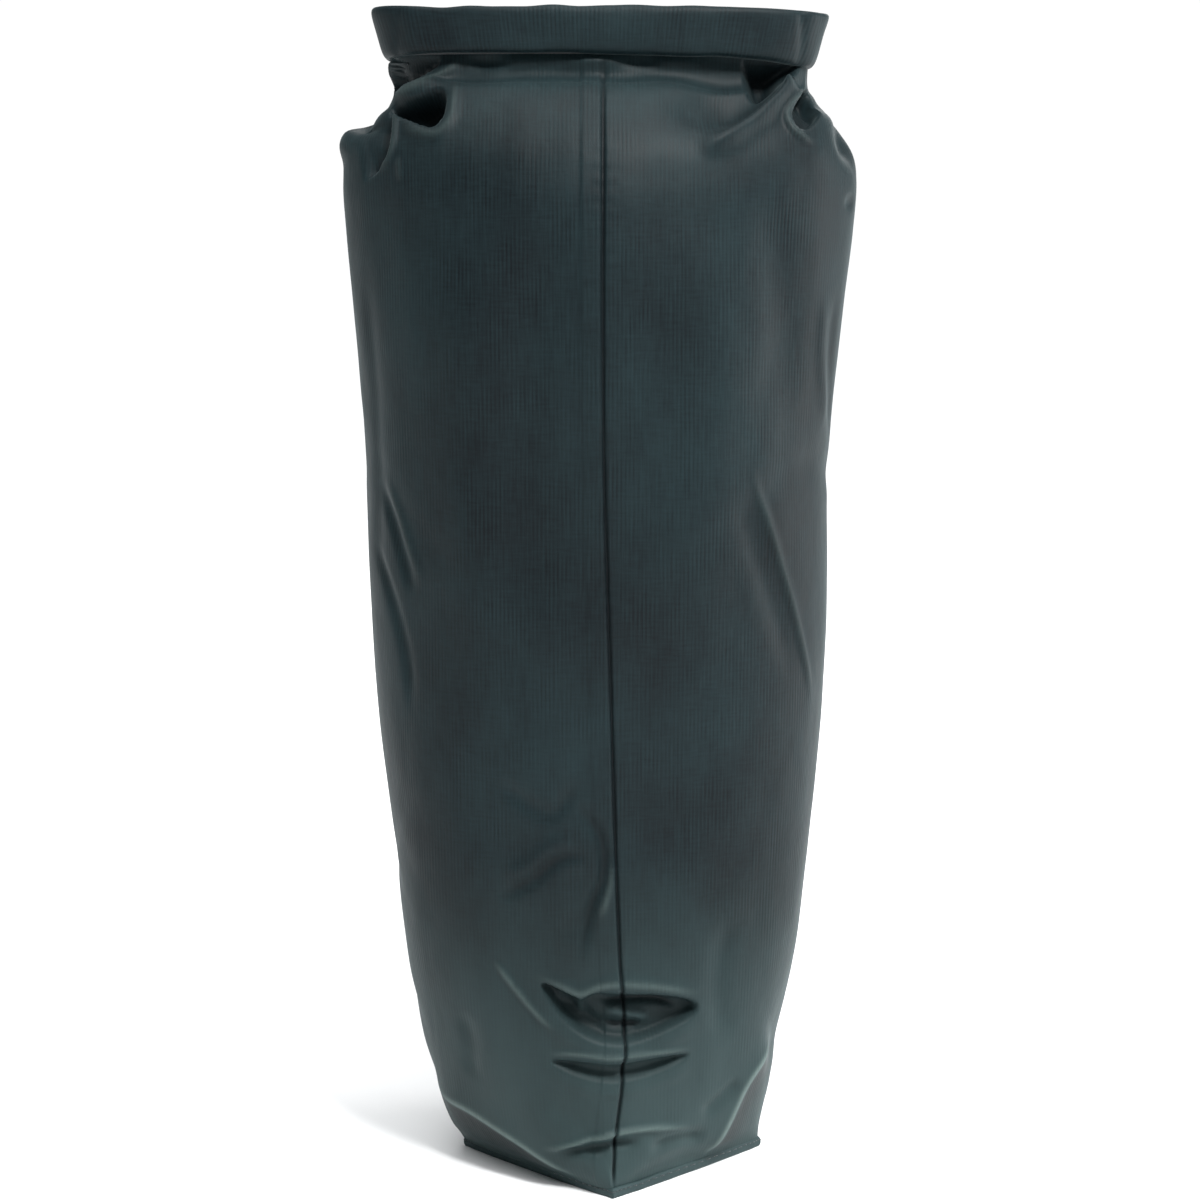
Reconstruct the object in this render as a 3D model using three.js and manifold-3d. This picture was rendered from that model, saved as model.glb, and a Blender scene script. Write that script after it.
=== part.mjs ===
// Tapered roll-top dry bag, rolled shut and buckled, standing on its base.
// Millimetres, +Z up. The origin is the centre of the base on the ground. -Y is the side with the long seam,
// +Y is the side with the buckle, and +X is to the right when the seam side faces the viewer.
//
// The fabric body is a tube that starts as a diamond on the base and rounds into an ellipse. Above it a neck
// gathers the tube into a collar, which is wound flat round two stiffener strips. The wound collar is bent
// into a C, and a side-release buckle on two webbing loops closes the C behind the bag.
import * as THREE from "three";
import { mergeVertices } from "three/addons/utils/BufferGeometryUtils.js";
import Module from "manifold-3d";

const wasm = await Module();
wasm.setup();

// ---- driving dimensions ----
const GAP = 0.4; // air between two pieces that touch
const FABRIC = 1.2; // wall of the coated fabric

// Body sections from the base up: height, half-width in X, half-depth in Y, roundness (1 diamond, 2 ellipse).
const BODY_SECTIONS = [
  [2.6, 65, 61.6, 1.04],
  [14, 69.2, 62.4, 1.2],
  [36, 75.2, 63, 1.42],
  [78, 84.2, 64.6, 1.75],
  [142, 92.4, 68.5, 1.98],
  [228, 100, 74, 2.08],
  [313, 102.6, 78.2, 2.1],
  [377, 108, 78.8, 2.06],
  [412, 109.8, 75.8, 2],
  [441, 107.4, 67.4, 2],
];
const AROUND = 48; // facets round the body
const BODY_ROWS = 15; // facets up the body, closer near the base, where the shape changes fastest
const ROW_CROWDING = 1.35;
const BASE_HALF_X = 63.4;
const BASE_HALF_Y = 60;
const BASE_ROUNDNESS = 1.03;
const BASE_THICK = 1.3;
const WELT_HALF_X = 66.6; // the base seam's outer edge
const WELT_HALF_Y = 63.2;
const WELT_HEIGHT = 2.2;

const TAPE_THICK = 0.6; // waterproof tape over the seams, inside
const TAPE_INSET = FABRIC + GAP * 1.3; // from the body's outer face
const SIDE_TAPE_WIDTH = 22;
const SIDE_TAPE_FIRST_ROW = 1.06; // just above the base tape
const SIDE_TAPE_LAST_ROW = BODY_ROWS - 0.03; // just under the body's top edge

// Collar: the C that the wound band follows, seen from above, and the band's flat spiral section.
const COLLAR_MID_Z = 488.4;
const COLLAR_HEIGHT = 23.2;
const C_HALF_X = 90.5;
const C_HALF_Y = 30;
const C_ROUNDNESS = 2.7;
const C_END_X = 55; // where the band's two ends stop, either side of the buckle
const C_SIDE_Y = 27.9; // roughly how far back the band's ends are, which sets where the C stops
const COLLAR_STEPS = 44;
const WIND_TURNS = 2;
const WIND_STEPS = 12; // facets in a turn
const WIND_LAYER = 1.0; // two walls of fabric, wound together
const WIND_PITCH = 1.36;
const WIND_CORE_RADIUS = 2.6;
const COLLAR_FLARE = 0.0029; // the band spreads by this share of its width for each mm of height
const STIFFENER_WIDTH = 13.4;
const STIFFENER_THICK = 0.9;
const STIFFENER_APART = 0.3; // from the band's middle to each strip
const STIFFENER_SHORT = 0.07; // how much of the C each end of a strip leaves free
const STIFFENER_STEPS = 40;

// Neck: rings of fabric from the body's top edge up to the collar and down into the loop's hollow, as height,
// half-width in X and half-depth in Y. The last one is the middle of the hollow's floor.
const NECK_TOP_Z = 476.2;
const HOLLOW_Z = 453;
const NECK_RINGS = [
  [441.4, 107.3, 67.2],
  [447, 104.4, 62.6],
  [456, 97.6, 54],
  [465, 93.4, 44],
  [NECK_TOP_Z, 92.5, 36.5],
  [NECK_TOP_Z, 87, 30],
  [467, 80, 24],
  [458, 62, 18],
  [454.5, 34, 11],
  [HOLLOW_Z, 0, 0],
];
const NECK_DIP = 15; // how far the neck drops under the buckle
const DIP_HALF_WIDTH = 0.62; // as a share of the ring's half-width

// Buckle: a 15 mm side-release, along X, on the loop's far side.
const BUCKLE_Y = 29.3;
const BUCKLE_WIDTH = 21; // along Z
const BUCKLE_THICK = 7.6; // along Y
const BUCKLE_WALL = 1.5; // of its broad faces
const SIDE_WALL = 1.6; // of its narrow faces
const BUCKLE_ROUND = 2; // its long edges
const SOCKET_END_X = -36;
const MOUTH_X = -10; // the socket's mouth
const PLUG_END_X = 2.6;
const CAVITY_DEPTH = 18.5;
const WINDOW_BACK = 14.5; // the side windows, from the mouth
const WINDOW_FRONT = 4.5;
const WINDOW_DEPTH = 3; // how far a window reaches in from the buckle's side
const SLOT = 3.8; // webbing slot, along X
const SLOT_WIDTH = 16; // along Z
const BAR = 2.8; // the bar that the webbing goes round, along X
const BAR_THICK = 2.2; // along Y
const TONGUE_WIDTH = 4.4; // the plug's middle guide
const TONGUE_LENGTH = 14.5;
const TONGUE_ROUND = 0.8;
const PRONG_LENGTH = 16.5;
const PRONG_THICK = 2.2; // along Z
const PRONG_DEPTH = 4; // along Y
const PRONG_OFFSET = 6.9; // the arm's middle, from the buckle's middle
const PRONG_ROOT = 1.8; // how far the arm runs into the plug
const ROOT_ROOM = 2.2; // the depth of the plug's recess for it

// Webbing loops, from inside the collar's ends round the buckle's bars. Places are [x, y].
const WEBBING_WIDTH = 14;
const WEBBING_THICK = 1.2;
const WEBBING_APART = 0.8; // from a loop's line to the middle of each of its layers
const BAR_CLEAR = 0.55; // air between the bar and the webbing round it
const IN_COLLAR = [16, 8, 0]; // distances from the collar's end
const SOCKET_ROUTE = [[-42, 28.2]];
const PLUG_ROUTE = [[44, 29.6], [36, 31.4], [27, 32.2], [17, 31.2], [9.5, 29.4]];

// Bar tacks: dense bars of thread across the loops' outer layers.
const TACK_LENGTH = 1.8; // along X
const TACK_THICK = 0.6; // along Y
const TACK_HEIGHT = 11; // along Z
const SOCKET_TACK = [SOCKET_END_X - 5.6, 30.1]; // where, and how far back the webbing's outer face is
const PLUG_TACK = [PLUG_END_X + 5.4, 31];

// ---- helpers ----
const group = new THREE.Group();

function add(name, geometry, material) {
  const mesh = new THREE.Mesh(geometry, material.clone());
  mesh.name = name;
  group.add(mesh);
}

function look(color, roughness) {
  return new THREE.MeshStandardMaterial({ color, roughness, metalness: 0 });
}

const fabricLook = look(0x333e41, 0.6);
const linerLook = look(0x2a3234, 0.45);
const tapeLook = look(0x4a5152, 0.5);
const stiffenerLook = look(0x1c1e1f, 0.55);
const webbingLook = look(0x1b1d1e, 0.8);
const threadLook = look(0x232627, 0.7);
const buckleLook = look(0x17181a, 0.42);

// A closed geometry from points and index triples.
function indexed(points, triples) {
  const flat = points.flatMap((p) => [p.x, p.y, p.z]);
  const used = triples.filter(([a, b, c]) => {
    const [p, q, r] = [points[a], points[b], points[c]];
    return p.distanceTo(q) > 1e-4 && q.distanceTo(r) > 1e-4 && r.distanceTo(p) > 1e-4;
  });
  return new THREE.BufferGeometry()
    .setAttribute("position", new THREE.Float32BufferAttribute(flat, 3))
    .setIndex(used.flat());
}

// A thin closed solid between an outer and an inner face, each a function of (i, j) on an nu by nv grid.
// With round set, i wraps, so the solid is a ring; a face that shrinks to a point at an end closes there.
function sheet(outer, inner, nu, nv, round) {
  const points = [];
  const columns = round ? nu : nu + 1;
  const at = (face, i, j) => (face * (nv + 1) + j) * columns + (round ? i % nu : i);
  for (const face of [outer, inner]) {
    for (let j = 0; j <= nv; j++) {
      for (let i = 0; i < columns; i++) points.push(face(i, j));
    }
  }
  const triples = [];
  const quad = (a, b, c, d) => triples.push([a, b, c], [a, c, d]);
  for (let j = 0; j < nv; j++) {
    for (let i = 0; i < nu; i++) {
      quad(at(0, i, j), at(0, i + 1, j), at(0, i + 1, j + 1), at(0, i, j + 1));
      quad(at(1, i, j), at(1, i, j + 1), at(1, i + 1, j + 1), at(1, i + 1, j));
    }
  }
  for (let i = 0; i < nu; i++) {
    quad(at(0, i, 0), at(1, i, 0), at(1, i + 1, 0), at(0, i + 1, 0));
    quad(at(0, i, nv), at(0, i + 1, nv), at(1, i + 1, nv), at(1, i, nv));
  }
  for (let j = 0; !round && j < nv; j++) {
    quad(at(0, 0, j), at(0, 0, j + 1), at(1, 0, j + 1), at(1, 0, j));
    quad(at(0, nu, j), at(1, nu, j), at(1, nu, j + 1), at(0, nu, j + 1));
  }
  return indexed(points, triples);
}

// A geometry as a manifold-3d solid, and back.
function solid(geometry) {
  const bare = (geometry.index ? geometry.toNonIndexed() : geometry.clone()).deleteAttribute("normal");
  bare.deleteAttribute("uv");
  const merged = mergeVertices(bare, 1e-4);
  const mesh = new wasm.Mesh({
    numProp: 3,
    vertProperties: merged.attributes.position.array,
    triVerts: new Uint32Array(merged.index.array),
  });
  return new wasm.Manifold(mesh);
}

function geometryOf(manifold) {
  const mesh = manifold.getMesh();
  return new THREE.BufferGeometry()
    .setAttribute("position", new THREE.BufferAttribute(new Float32Array(mesh.vertProperties), 3))
    .setIndex(new THREE.BufferAttribute(new Uint32Array(mesh.triVerts), 1));
}

// A closed outline in X and Y, pushed up from z0 to z1.
function prism(outline, z0, z1) {
  const geometry = new THREE.ExtrudeGeometry(new THREE.Shape(outline), { depth: z1 - z0, bevelEnabled: false });
  return geometry.translate(0, 0, z0);
}

// A box with its edges along X rounded, from one X to another, centred on the buckle.
function block(x0, x1, thick, wide, round) {
  const [h, w] = [thick / 2 - round, wide / 2 - round];
  const shape = new THREE.Shape()
    .absarc(w, h, round, 0, Math.PI / 2)
    .absarc(-w, h, round, Math.PI / 2, Math.PI)
    .absarc(-w, -h, round, Math.PI, Math.PI * 1.5)
    .absarc(w, -h, round, Math.PI * 1.5, Math.PI * 2);
  const geometry = new THREE.ExtrudeGeometry(shape, { depth: x1 - x0, bevelEnabled: false, curveSegments: 4 });
  // the shape's X becomes Z, its Y stays Y, and its depth becomes X
  geometry.rotateY(Math.PI / 2);
  return geometry.translate(x0, BUCKLE_Y, COLLAR_MID_Z);
}

const place = ([x, y]) => new THREE.Vector2(x, y);

// ---- the body's surface ----
const power = (value, exponent) => Math.sign(value) * Math.abs(value) ** exponent;

// One column of BODY_SECTIONS at a height, on a smooth curve through the sections.
function section(z, column) {
  const rows = BODY_SECTIONS;
  const last = rows.length - 1;
  let k = 0;
  while (k < last - 1 && z > rows[k + 1][0]) k++;
  const [z0, z1] = [rows[k][0], rows[k + 1][0]];
  const slope = (i) => {
    const [a, b] = [rows[Math.max(i - 1, 0)], rows[Math.min(i + 1, last)]];
    return (b[column] - a[column]) / (b[0] - a[0]);
  };
  const t = Math.min(Math.max((z - z0) / (z1 - z0), 0), 1);
  const span = z1 - z0;
  return (
    rows[k][column] * (2 * t ** 3 - 3 * t ** 2 + 1) +
    rows[k + 1][column] * (3 * t ** 2 - 2 * t ** 3) +
    slope(k) * span * (t ** 3 - 2 * t ** 2 + t) +
    slope(k + 1) * span * (t ** 3 - t ** 2)
  );
}

function superellipse(halfX, halfY, roundness, angle) {
  return [halfX * power(Math.cos(angle), 2 / roundness), halfY * power(Math.sin(angle), 2 / roundness)];
}

// The body's half-width, half-depth and roundness at a height, a distance inside its outer face. A diamond's
// half-widths shrink by more than that distance, because its sides slant.
function insideBody(z, distance) {
  const roundness = section(z, 3);
  const inset = distance * 2 ** (1 / roundness - 0.5);
  return [section(z, 1) - inset, section(z, 2) - inset, roundness];
}

const BODY_BOTTOM = BODY_SECTIONS[0][0];
const BODY_TOP = BODY_SECTIONS.at(-1)[0];
const angleOf = (i) => (i / AROUND) * Math.PI * 2;
const rowHeight = (row) => BODY_BOTTOM + (BODY_TOP - BODY_BOTTOM) * (row / BODY_ROWS) ** ROW_CROWDING;

function bodyPoint(angle, row, distance) {
  const z = rowHeight(row);
  const [x, y] = superellipse(...insideBody(z, distance), angle);
  return new THREE.Vector3(x, y, z);
}

// A point of the body's seam side at an X, on the flat facets between two whole rows.
function seamSidePoint(x, row, distance) {
  const at = (whole) => {
    const z = rowHeight(whole);
    const [halfX, halfY, roundness] = insideBody(z, distance);
    return new THREE.Vector3(x, -halfY * (1 - Math.abs(x / halfX) ** roundness) ** (1 / roundness), z);
  };
  return at(Math.floor(row)).lerp(at(Math.ceil(row)), row % 1);
}

function bodyPanel() {
  const face = (distance) => (i, row) => bodyPoint(angleOf(i), row, distance);
  return sheet(face(0), face(FABRIC), AROUND, BODY_ROWS, true);
}

function baseOutline(halfX, halfY) {
  const points = [];
  for (let i = 0; i < AROUND; i++) points.push(place(superellipse(halfX, halfY, BASE_ROUNDNESS, angleOf(i))));
  return points;
}

function basePanel() {
  return prism(baseOutline(BASE_HALF_X, BASE_HALF_Y), 0, BASE_THICK);
}

function baseWelt() {
  const hole = prism(baseOutline(BASE_HALF_X + GAP * 1.5, BASE_HALF_Y + GAP * 1.5), -1, WELT_HEIGHT + 1);
  const whole = prism(baseOutline(WELT_HALF_X, WELT_HALF_Y), 0, WELT_HEIGHT);
  return geometryOf(solid(whole).subtract(solid(hole)));
}

// The base tape is as tall as the body's first row.
function baseSeamTape() {
  const face = (distance) => (i, row) => bodyPoint(angleOf(i), row, distance);
  return sheet(face(TAPE_INSET), face(TAPE_INSET + TAPE_THICK), AROUND, 1, true);
}

function sideSeamTape() {
  const columns = 4;
  const rowOf = (j) => Math.min(Math.max(j + 1, SIDE_TAPE_FIRST_ROW), SIDE_TAPE_LAST_ROW);
  const face = (distance) => (i, j) => seamSidePoint(SIDE_TAPE_WIDTH * (i / columns - 0.5), rowOf(j), distance);
  return sheet(face(TAPE_INSET), face(TAPE_INSET + TAPE_THICK), columns, BODY_ROWS - 1, false);
}

// ---- the neck ----
// How much of the dip under the buckle a point at this angle has.
function dip(angle) {
  const back = Math.sin(angle);
  const beside = Math.abs(Math.cos(angle));
  return back > 0 ? Math.max(0, 1 - (beside / DIP_HALF_WIDTH) ** 2) ** 2 : 0;
}

function neckPoint(angle, j, depth) {
  const [z, halfX, halfY] = NECK_RINGS[j];
  const [before, after] = [NECK_RINGS[Math.max(j - 1, 0)], NECK_RINGS[Math.min(j + 1, NECK_RINGS.length - 1)]];
  // the profile's inward normal, in the plane of the ring's half-width and height
  const run = (after[1] + after[2] - before[1] - before[2]) / 2;
  const rise = after[0] - before[0];
  const long = Math.hypot(run, rise) || 1;
  const inward = (-rise / long) * depth;
  const down = j === 0 ? 0 : (run / long) * depth; // the lower edge is level
  const narrow = halfX === 0 ? 0 : inward;
  const lowered = NECK_DIP * dip(angle) * Math.max(0, (z - HOLLOW_Z) / (NECK_TOP_Z - HOLLOW_Z));
  const [x, y] = superellipse(halfX + narrow, halfY + narrow, 2, angle);
  return new THREE.Vector3(x, y, z + down - lowered);
}

function collarNeck() {
  const face = (depth) => (i, j) => neckPoint(angleOf(i), j, depth);
  return sheet(face(0), face(FABRIC), AROUND, NECK_RINGS.length - 1, true);
}

// ---- the wound collar ----
// The C, counter-clockwise from the band's left end round the seam side to its right end.
class CollarPath extends THREE.Curve {
  constructor(trim) {
    super();
    this.trim = trim; // how far each end stops short, as a share of the C
    this.arcLengthDivisions = 600;
  }
  getPoint(t, target = new THREE.Vector3()) {
    const share = this.trim + t * (1 - 2 * this.trim);
    const endAngle = Math.atan2(C_SIDE_Y, C_END_X);
    const angle = Math.PI - endAngle + share * (Math.PI + 2 * endAngle);
    const [c, s] = [Math.abs(Math.cos(angle)) / C_HALF_X, Math.abs(Math.sin(angle)) / C_HALF_Y];
    const radius = (c ** C_ROUNDNESS + s ** C_ROUNDNESS) ** (-1 / C_ROUNDNESS);
    return target.set(radius * Math.cos(angle), radius * Math.sin(angle), COLLAR_MID_Z);
  }
}

// The wound band's section: a flat spiral. Its X is down and its Y is towards the inside of the C.
function spiralOutline() {
  const straight = COLLAR_HEIGHT / 2 - WIND_LAYER / 2 - WIND_CORE_RADIUS - WIND_TURNS * WIND_PITCH;
  const side = (offset) => {
    const points = [];
    for (let k = 0; k <= WIND_TURNS * WIND_STEPS; k++) {
      const turn = k / WIND_STEPS;
      const angle = (turn + 0.25) * Math.PI * 2;
      const radius = WIND_CORE_RADIUS + turn * WIND_PITCH + offset;
      const half = straight * Math.sign(Math.round(Math.cos(angle) * 1e6));
      points.push(new THREE.Vector2(half + radius * Math.cos(angle), radius * Math.sin(angle)));
    }
    return points;
  };
  return [...side(WIND_LAYER / 2), ...side(-WIND_LAYER / 2).reverse()];
}

function alongCollar(outline, steps, trim) {
  const path = new CollarPath(trim);
  const shape = new THREE.Shape(outline);
  const geometry = new THREE.ExtrudeGeometry(shape, { steps, extrudePath: path, bevelEnabled: false });
  return flared(geometry);
}

// Spreads a piece of the collar towards its top.
function flared(geometry) {
  const position = geometry.attributes.position;
  for (let i = 0; i < position.count; i++) {
    const wider = 1 + COLLAR_FLARE * (position.getZ(i) - COLLAR_MID_Z);
    position.setX(i, position.getX(i) * wider);
  }
  return geometry;
}

// One of the two strips that the band is wound on, on the inner or outer side of its middle.
function stiffener(inside) {
  const near = inside ? STIFFENER_APART : -STIFFENER_APART - STIFFENER_THICK;
  const far = near + STIFFENER_THICK;
  const half = STIFFENER_WIDTH / 2;
  const outline = [[-half, near], [half, near], [half, far], [-half, far]].map(place);
  return alongCollar(outline, STIFFENER_STEPS, STIFFENER_SHORT);
}

// ---- webbing ----
// A strip of webbing standing on edge along a line in X and Y.
function webbing(line, width) {
  const points = new THREE.SplineCurve(line).getPoints(line.length * 4);
  const half = WEBBING_THICK / 2;
  const outline = [...beside(points, half), ...beside(points, -half).reverse()];
  const bottom = COLLAR_MID_Z - width / 2;
  return prism(outline, bottom, bottom + width);
}

// The points of a line in X and Y moved sideways, to its left if the distance is positive.
function beside(points, distance) {
  return points.map((p, k) => {
    const before = points[Math.max(k - 1, 0)];
    const after = points[Math.min(k + 1, points.length - 1)];
    const along = after.clone().sub(before).normalize();
    return new THREE.Vector2(p.x - distance * along.y, p.y + distance * along.x);
  });
}

// A hairpin of webbing: in from the collar's end along one side, round a buckle bar, and back along the other.
// The route runs from inside the collar to the bar, as points in X and Y. The turn is the bar's middle.
function hairpin(route, turn) {
  const round = BAR / 2 + WEBBING_THICK / 2 + BAR_CLEAR;
  const away = Math.sign(turn.x - route[0].x);
  const bend = [-1, -0.5, 0, 0.5, 1].map((k) => {
    const angle = (k * Math.PI) / 2;
    return new THREE.Vector2(turn.x + away * round * Math.cos(angle), turn.y - away * round * Math.sin(angle));
  });
  const back = beside(route, -WEBBING_APART).reverse();
  return webbing([...beside(route, WEBBING_APART), ...bend, ...back], WEBBING_WIDTH);
}

// The collar's own line near one end, inwards from that end, as points in X and Y.
function collarEnd(left) {
  const path = new CollarPath(0);
  const long = path.getLength();
  return IN_COLLAR.map((distance) => {
    const { x, y } = path.getPointAt(left ? distance / long : 1 - distance / long);
    return new THREE.Vector2(x, y);
  });
}

function socketWebbing() {
  const bar = new THREE.Vector2(SOCKET_END_X + BAR / 2, BUCKLE_Y);
  return hairpin([...collarEnd(true), ...SOCKET_ROUTE.map(place)], bar);
}

function plugWebbing() {
  const bar = new THREE.Vector2(PLUG_END_X - BAR / 2, BUCKLE_Y);
  return hairpin([...collarEnd(false), ...PLUG_ROUTE.map(place)], bar);
}

// ---- buckle ----
// A box by its limits in X, Y and Z, the last two from the buckle's middle.
function cutter(x0, x1, y0, y1, z0, z1) {
  const geometry = new THREE.BoxGeometry(x1 - x0, y1 - y0, z1 - z0);
  return solid(geometry.translate((x0 + x1) / 2, (y0 + y1) / 2 + BUCKLE_Y, (z0 + z1) / 2 + COLLAR_MID_Z));
}

// Cuts the slot that webbing passes through, and thins the bar beyond it. The bar starts at barEnd, and
// away is the direction from there to the slot.
function cutWebbingSlot(body, barEnd, away) {
  const half = SLOT_WIDTH / 2;
  const between = (a, b) => [Math.min(a, b), Math.max(a, b)];
  const slot = between(barEnd + away * BAR, barEnd + away * (BAR + SLOT));
  const bar = between(barEnd - away, barEnd + away * (BAR + 1));
  return body
    .subtract(cutter(...slot, -BUCKLE_THICK, BUCKLE_THICK, -half, half))
    .subtract(cutter(...bar, BAR_THICK / 2, BUCKLE_THICK, -half, half))
    .subtract(cutter(...bar, -BUCKLE_THICK, -BAR_THICK / 2, -half, half));
}

const HALF_WIDTH = BUCKLE_WIDTH / 2;
const HALF_CAVITY = BUCKLE_THICK / 2 - BUCKLE_WALL; // along Y

function buckleSocket() {
  const side = HALF_WIDTH - SIDE_WALL;
  const cavity = cutter(MOUTH_X - CAVITY_DEPTH, MOUTH_X + 1, -HALF_CAVITY, HALF_CAVITY, -side, side);
  let body = solid(block(SOCKET_END_X, MOUTH_X, BUCKLE_THICK, BUCKLE_WIDTH, BUCKLE_ROUND)).subtract(cavity);
  body = cutWebbingSlot(body, SOCKET_END_X, 1);
  // a window through each side for an arm's button
  const [back, front] = [MOUTH_X - WINDOW_BACK, MOUTH_X - WINDOW_FRONT];
  const [shallow, deep] = [HALF_WIDTH + 1, HALF_WIDTH - WINDOW_DEPTH];
  body = body.subtract(cutter(back, front, -HALF_CAVITY, HALF_CAVITY, deep, shallow));
  return geometryOf(body.subtract(cutter(back, front, -HALF_CAVITY, HALF_CAVITY, -shallow, -deep)));
}

function bucklePlug() {
  const start = MOUTH_X + GAP;
  let body = solid(block(start, PLUG_END_X, BUCKLE_THICK, BUCKLE_WIDTH, BUCKLE_ROUND));
  body = cutWebbingSlot(body, PLUG_END_X, -1);
  // a recess for the root of each arm
  const deep = HALF_CAVITY + GAP;
  const room = PRONG_THICK / 2 + GAP;
  for (const middle of [-PRONG_OFFSET, PRONG_OFFSET])
    body = body.subtract(cutter(start - 1, start + ROOT_ROOM, -deep, deep, middle - room, middle + room));
  const tongue = block(MOUTH_X - TONGUE_LENGTH, start + 1, 2 * (HALF_CAVITY - GAP), TONGUE_WIDTH, TONGUE_ROUND);
  return geometryOf(body.add(solid(tongue)));
}

// One spring arm of the plug: a bar with a button near its tip that fills the socket's side window.
function plugProng(sign) {
  const root = MOUTH_X + GAP + PRONG_ROOT;
  const tip = MOUTH_X - PRONG_LENGTH;
  const [low, high] = [PRONG_OFFSET - PRONG_THICK / 2, PRONG_OFFSET + PRONG_THICK / 2];
  const front = MOUTH_X - WINDOW_FRONT - GAP;
  const back = MOUTH_X - WINDOW_BACK + GAP;
  // in X and Z, from the buckle's middle: the bar, the button's step, its rounded crown, and the tapered tip
  const outline = new THREE.Shape()
    .moveTo(root, low)
    .lineTo(root, high)
    .lineTo(front, high)
    .lineTo(front, HALF_WIDTH - 0.4)
    .quadraticCurveTo(front - 4, HALF_WIDTH + 0.5, back + 1.5, HALF_WIDTH - 1.4)
    .lineTo(tip + 0.6, high - 0.9)
    .lineTo(tip, low + 0.8)
    .lineTo(tip + 0.8, low);
  const geometry = new THREE.ExtrudeGeometry(outline, { depth: PRONG_DEPTH, bevelEnabled: false, curveSegments: 8 });
  geometry.translate(0, 0, -PRONG_DEPTH / 2);
  geometry.rotateX(Math.PI / 2); // the outline's Y becomes Z
  if (sign < 0) geometry.rotateX(Math.PI);
  return geometry.translate(0, BUCKLE_Y, COLLAR_MID_Z);
}

// ---- bar tacks ----
function barTack([x, layerOutside]) {
  const geometry = new THREE.BoxGeometry(TACK_LENGTH, TACK_THICK, TACK_HEIGHT);
  return geometry.translate(x, layerOutside + GAP + TACK_THICK / 2, COLLAR_MID_Z);
}

// ---- assembly ----
add("body_panel", bodyPanel(), fabricLook);
add("base_panel", basePanel(), fabricLook);
add("base_seam_welt", baseWelt(), linerLook);
add("base_seam_tape", baseSeamTape(), tapeLook);
add("side_seam_tape", sideSeamTape(), tapeLook);
add("collar_neck", collarNeck(), fabricLook);
add("rolled_collar", alongCollar(spiralOutline(), COLLAR_STEPS, 0), fabricLook);
add("mouth_stiffener_inner", stiffener(true), stiffenerLook);
add("mouth_stiffener_outer", stiffener(false), stiffenerLook);
add("socket_webbing", socketWebbing(), webbingLook);
add("plug_webbing", plugWebbing(), webbingLook);
add("socket_bar_tack", barTack(SOCKET_TACK), threadLook);
add("plug_bar_tack", barTack(PLUG_TACK), threadLook);
add("buckle_socket", buckleSocket(), buckleLook);
add("buckle_plug", bucklePlug(), buckleLook);
add("plug_prong_upper", plugProng(1), buckleLook);
add("plug_prong_lower", plugProng(-1), buckleLook);

export default group;
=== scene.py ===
"""A tapered roll-top dry bag in coated nylon: stuffed, rolled shut, buckled into a loop, on its base.

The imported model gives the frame, the bodies and the joints. This script gives the bag its cloth: one
continuous shell of fabric that a cloth simulation settles and that is then creased, a wound collar, webbing,
thread and moulded buckle parts. Lengths are in millimetres until a mesh is made, and the frame is the
model's own: +Z up, the long seam on the -Y side, the buckle on the +Y side.
"""
import math

import bmesh
import bpy
import numpy as np
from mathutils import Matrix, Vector


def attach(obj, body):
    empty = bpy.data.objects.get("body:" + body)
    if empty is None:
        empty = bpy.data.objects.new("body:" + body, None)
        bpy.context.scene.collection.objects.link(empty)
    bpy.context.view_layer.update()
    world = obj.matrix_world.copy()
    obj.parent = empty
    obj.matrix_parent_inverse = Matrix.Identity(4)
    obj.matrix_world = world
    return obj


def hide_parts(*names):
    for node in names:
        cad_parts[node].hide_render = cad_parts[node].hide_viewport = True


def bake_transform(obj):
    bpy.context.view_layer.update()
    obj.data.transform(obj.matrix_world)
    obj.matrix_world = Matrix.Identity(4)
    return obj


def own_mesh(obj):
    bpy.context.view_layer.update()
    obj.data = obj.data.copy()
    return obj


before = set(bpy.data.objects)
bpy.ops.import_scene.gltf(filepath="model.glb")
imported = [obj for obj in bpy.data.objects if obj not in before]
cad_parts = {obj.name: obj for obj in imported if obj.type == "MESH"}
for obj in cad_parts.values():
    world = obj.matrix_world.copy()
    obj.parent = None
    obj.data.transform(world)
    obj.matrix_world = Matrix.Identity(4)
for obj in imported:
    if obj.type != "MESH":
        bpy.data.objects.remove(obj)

MM = 0.001
TURN = 2 * math.pi
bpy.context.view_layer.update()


def configure(thing, **values):
    """Sets several of a thing's properties."""
    for key, value in values.items():
        setattr(thing, key, value)
    return thing


def placed(name, data):
    """A new object in the scene."""
    obj = bpy.data.objects.new(name, data)
    bpy.context.scene.collection.objects.link(obj)
    return obj


# ---- camera and light ----
CAMERA_ELEVATION = math.radians(9)
CAMERA_DISTANCE = 1.15
CAMERA_AIM = Vector((-0.0005, 0, 0.2493))
VIEW_WIDTH = 0.5238  # how much the picture takes in, at the bag's axis


def aimed(name, data, place, target):
    """A camera or lamp at a place, turned towards a target."""
    obj = placed(name, data)
    obj.location = place
    obj.rotation_euler = (Vector(target) - Vector(place)).to_track_quat("-Z", "Y").to_euler()
    return obj


def make_camera():
    data = bpy.data.cameras.new("camera")
    data.lens = data.sensor_width * CAMERA_DISTANCE / VIEW_WIDTH
    back = Vector((0, -math.cos(CAMERA_ELEVATION), math.sin(CAMERA_ELEVATION)))
    bpy.context.scene.camera = aimed("camera", data, CAMERA_AIM + back * CAMERA_DISTANCE, CAMERA_AIM)


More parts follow.
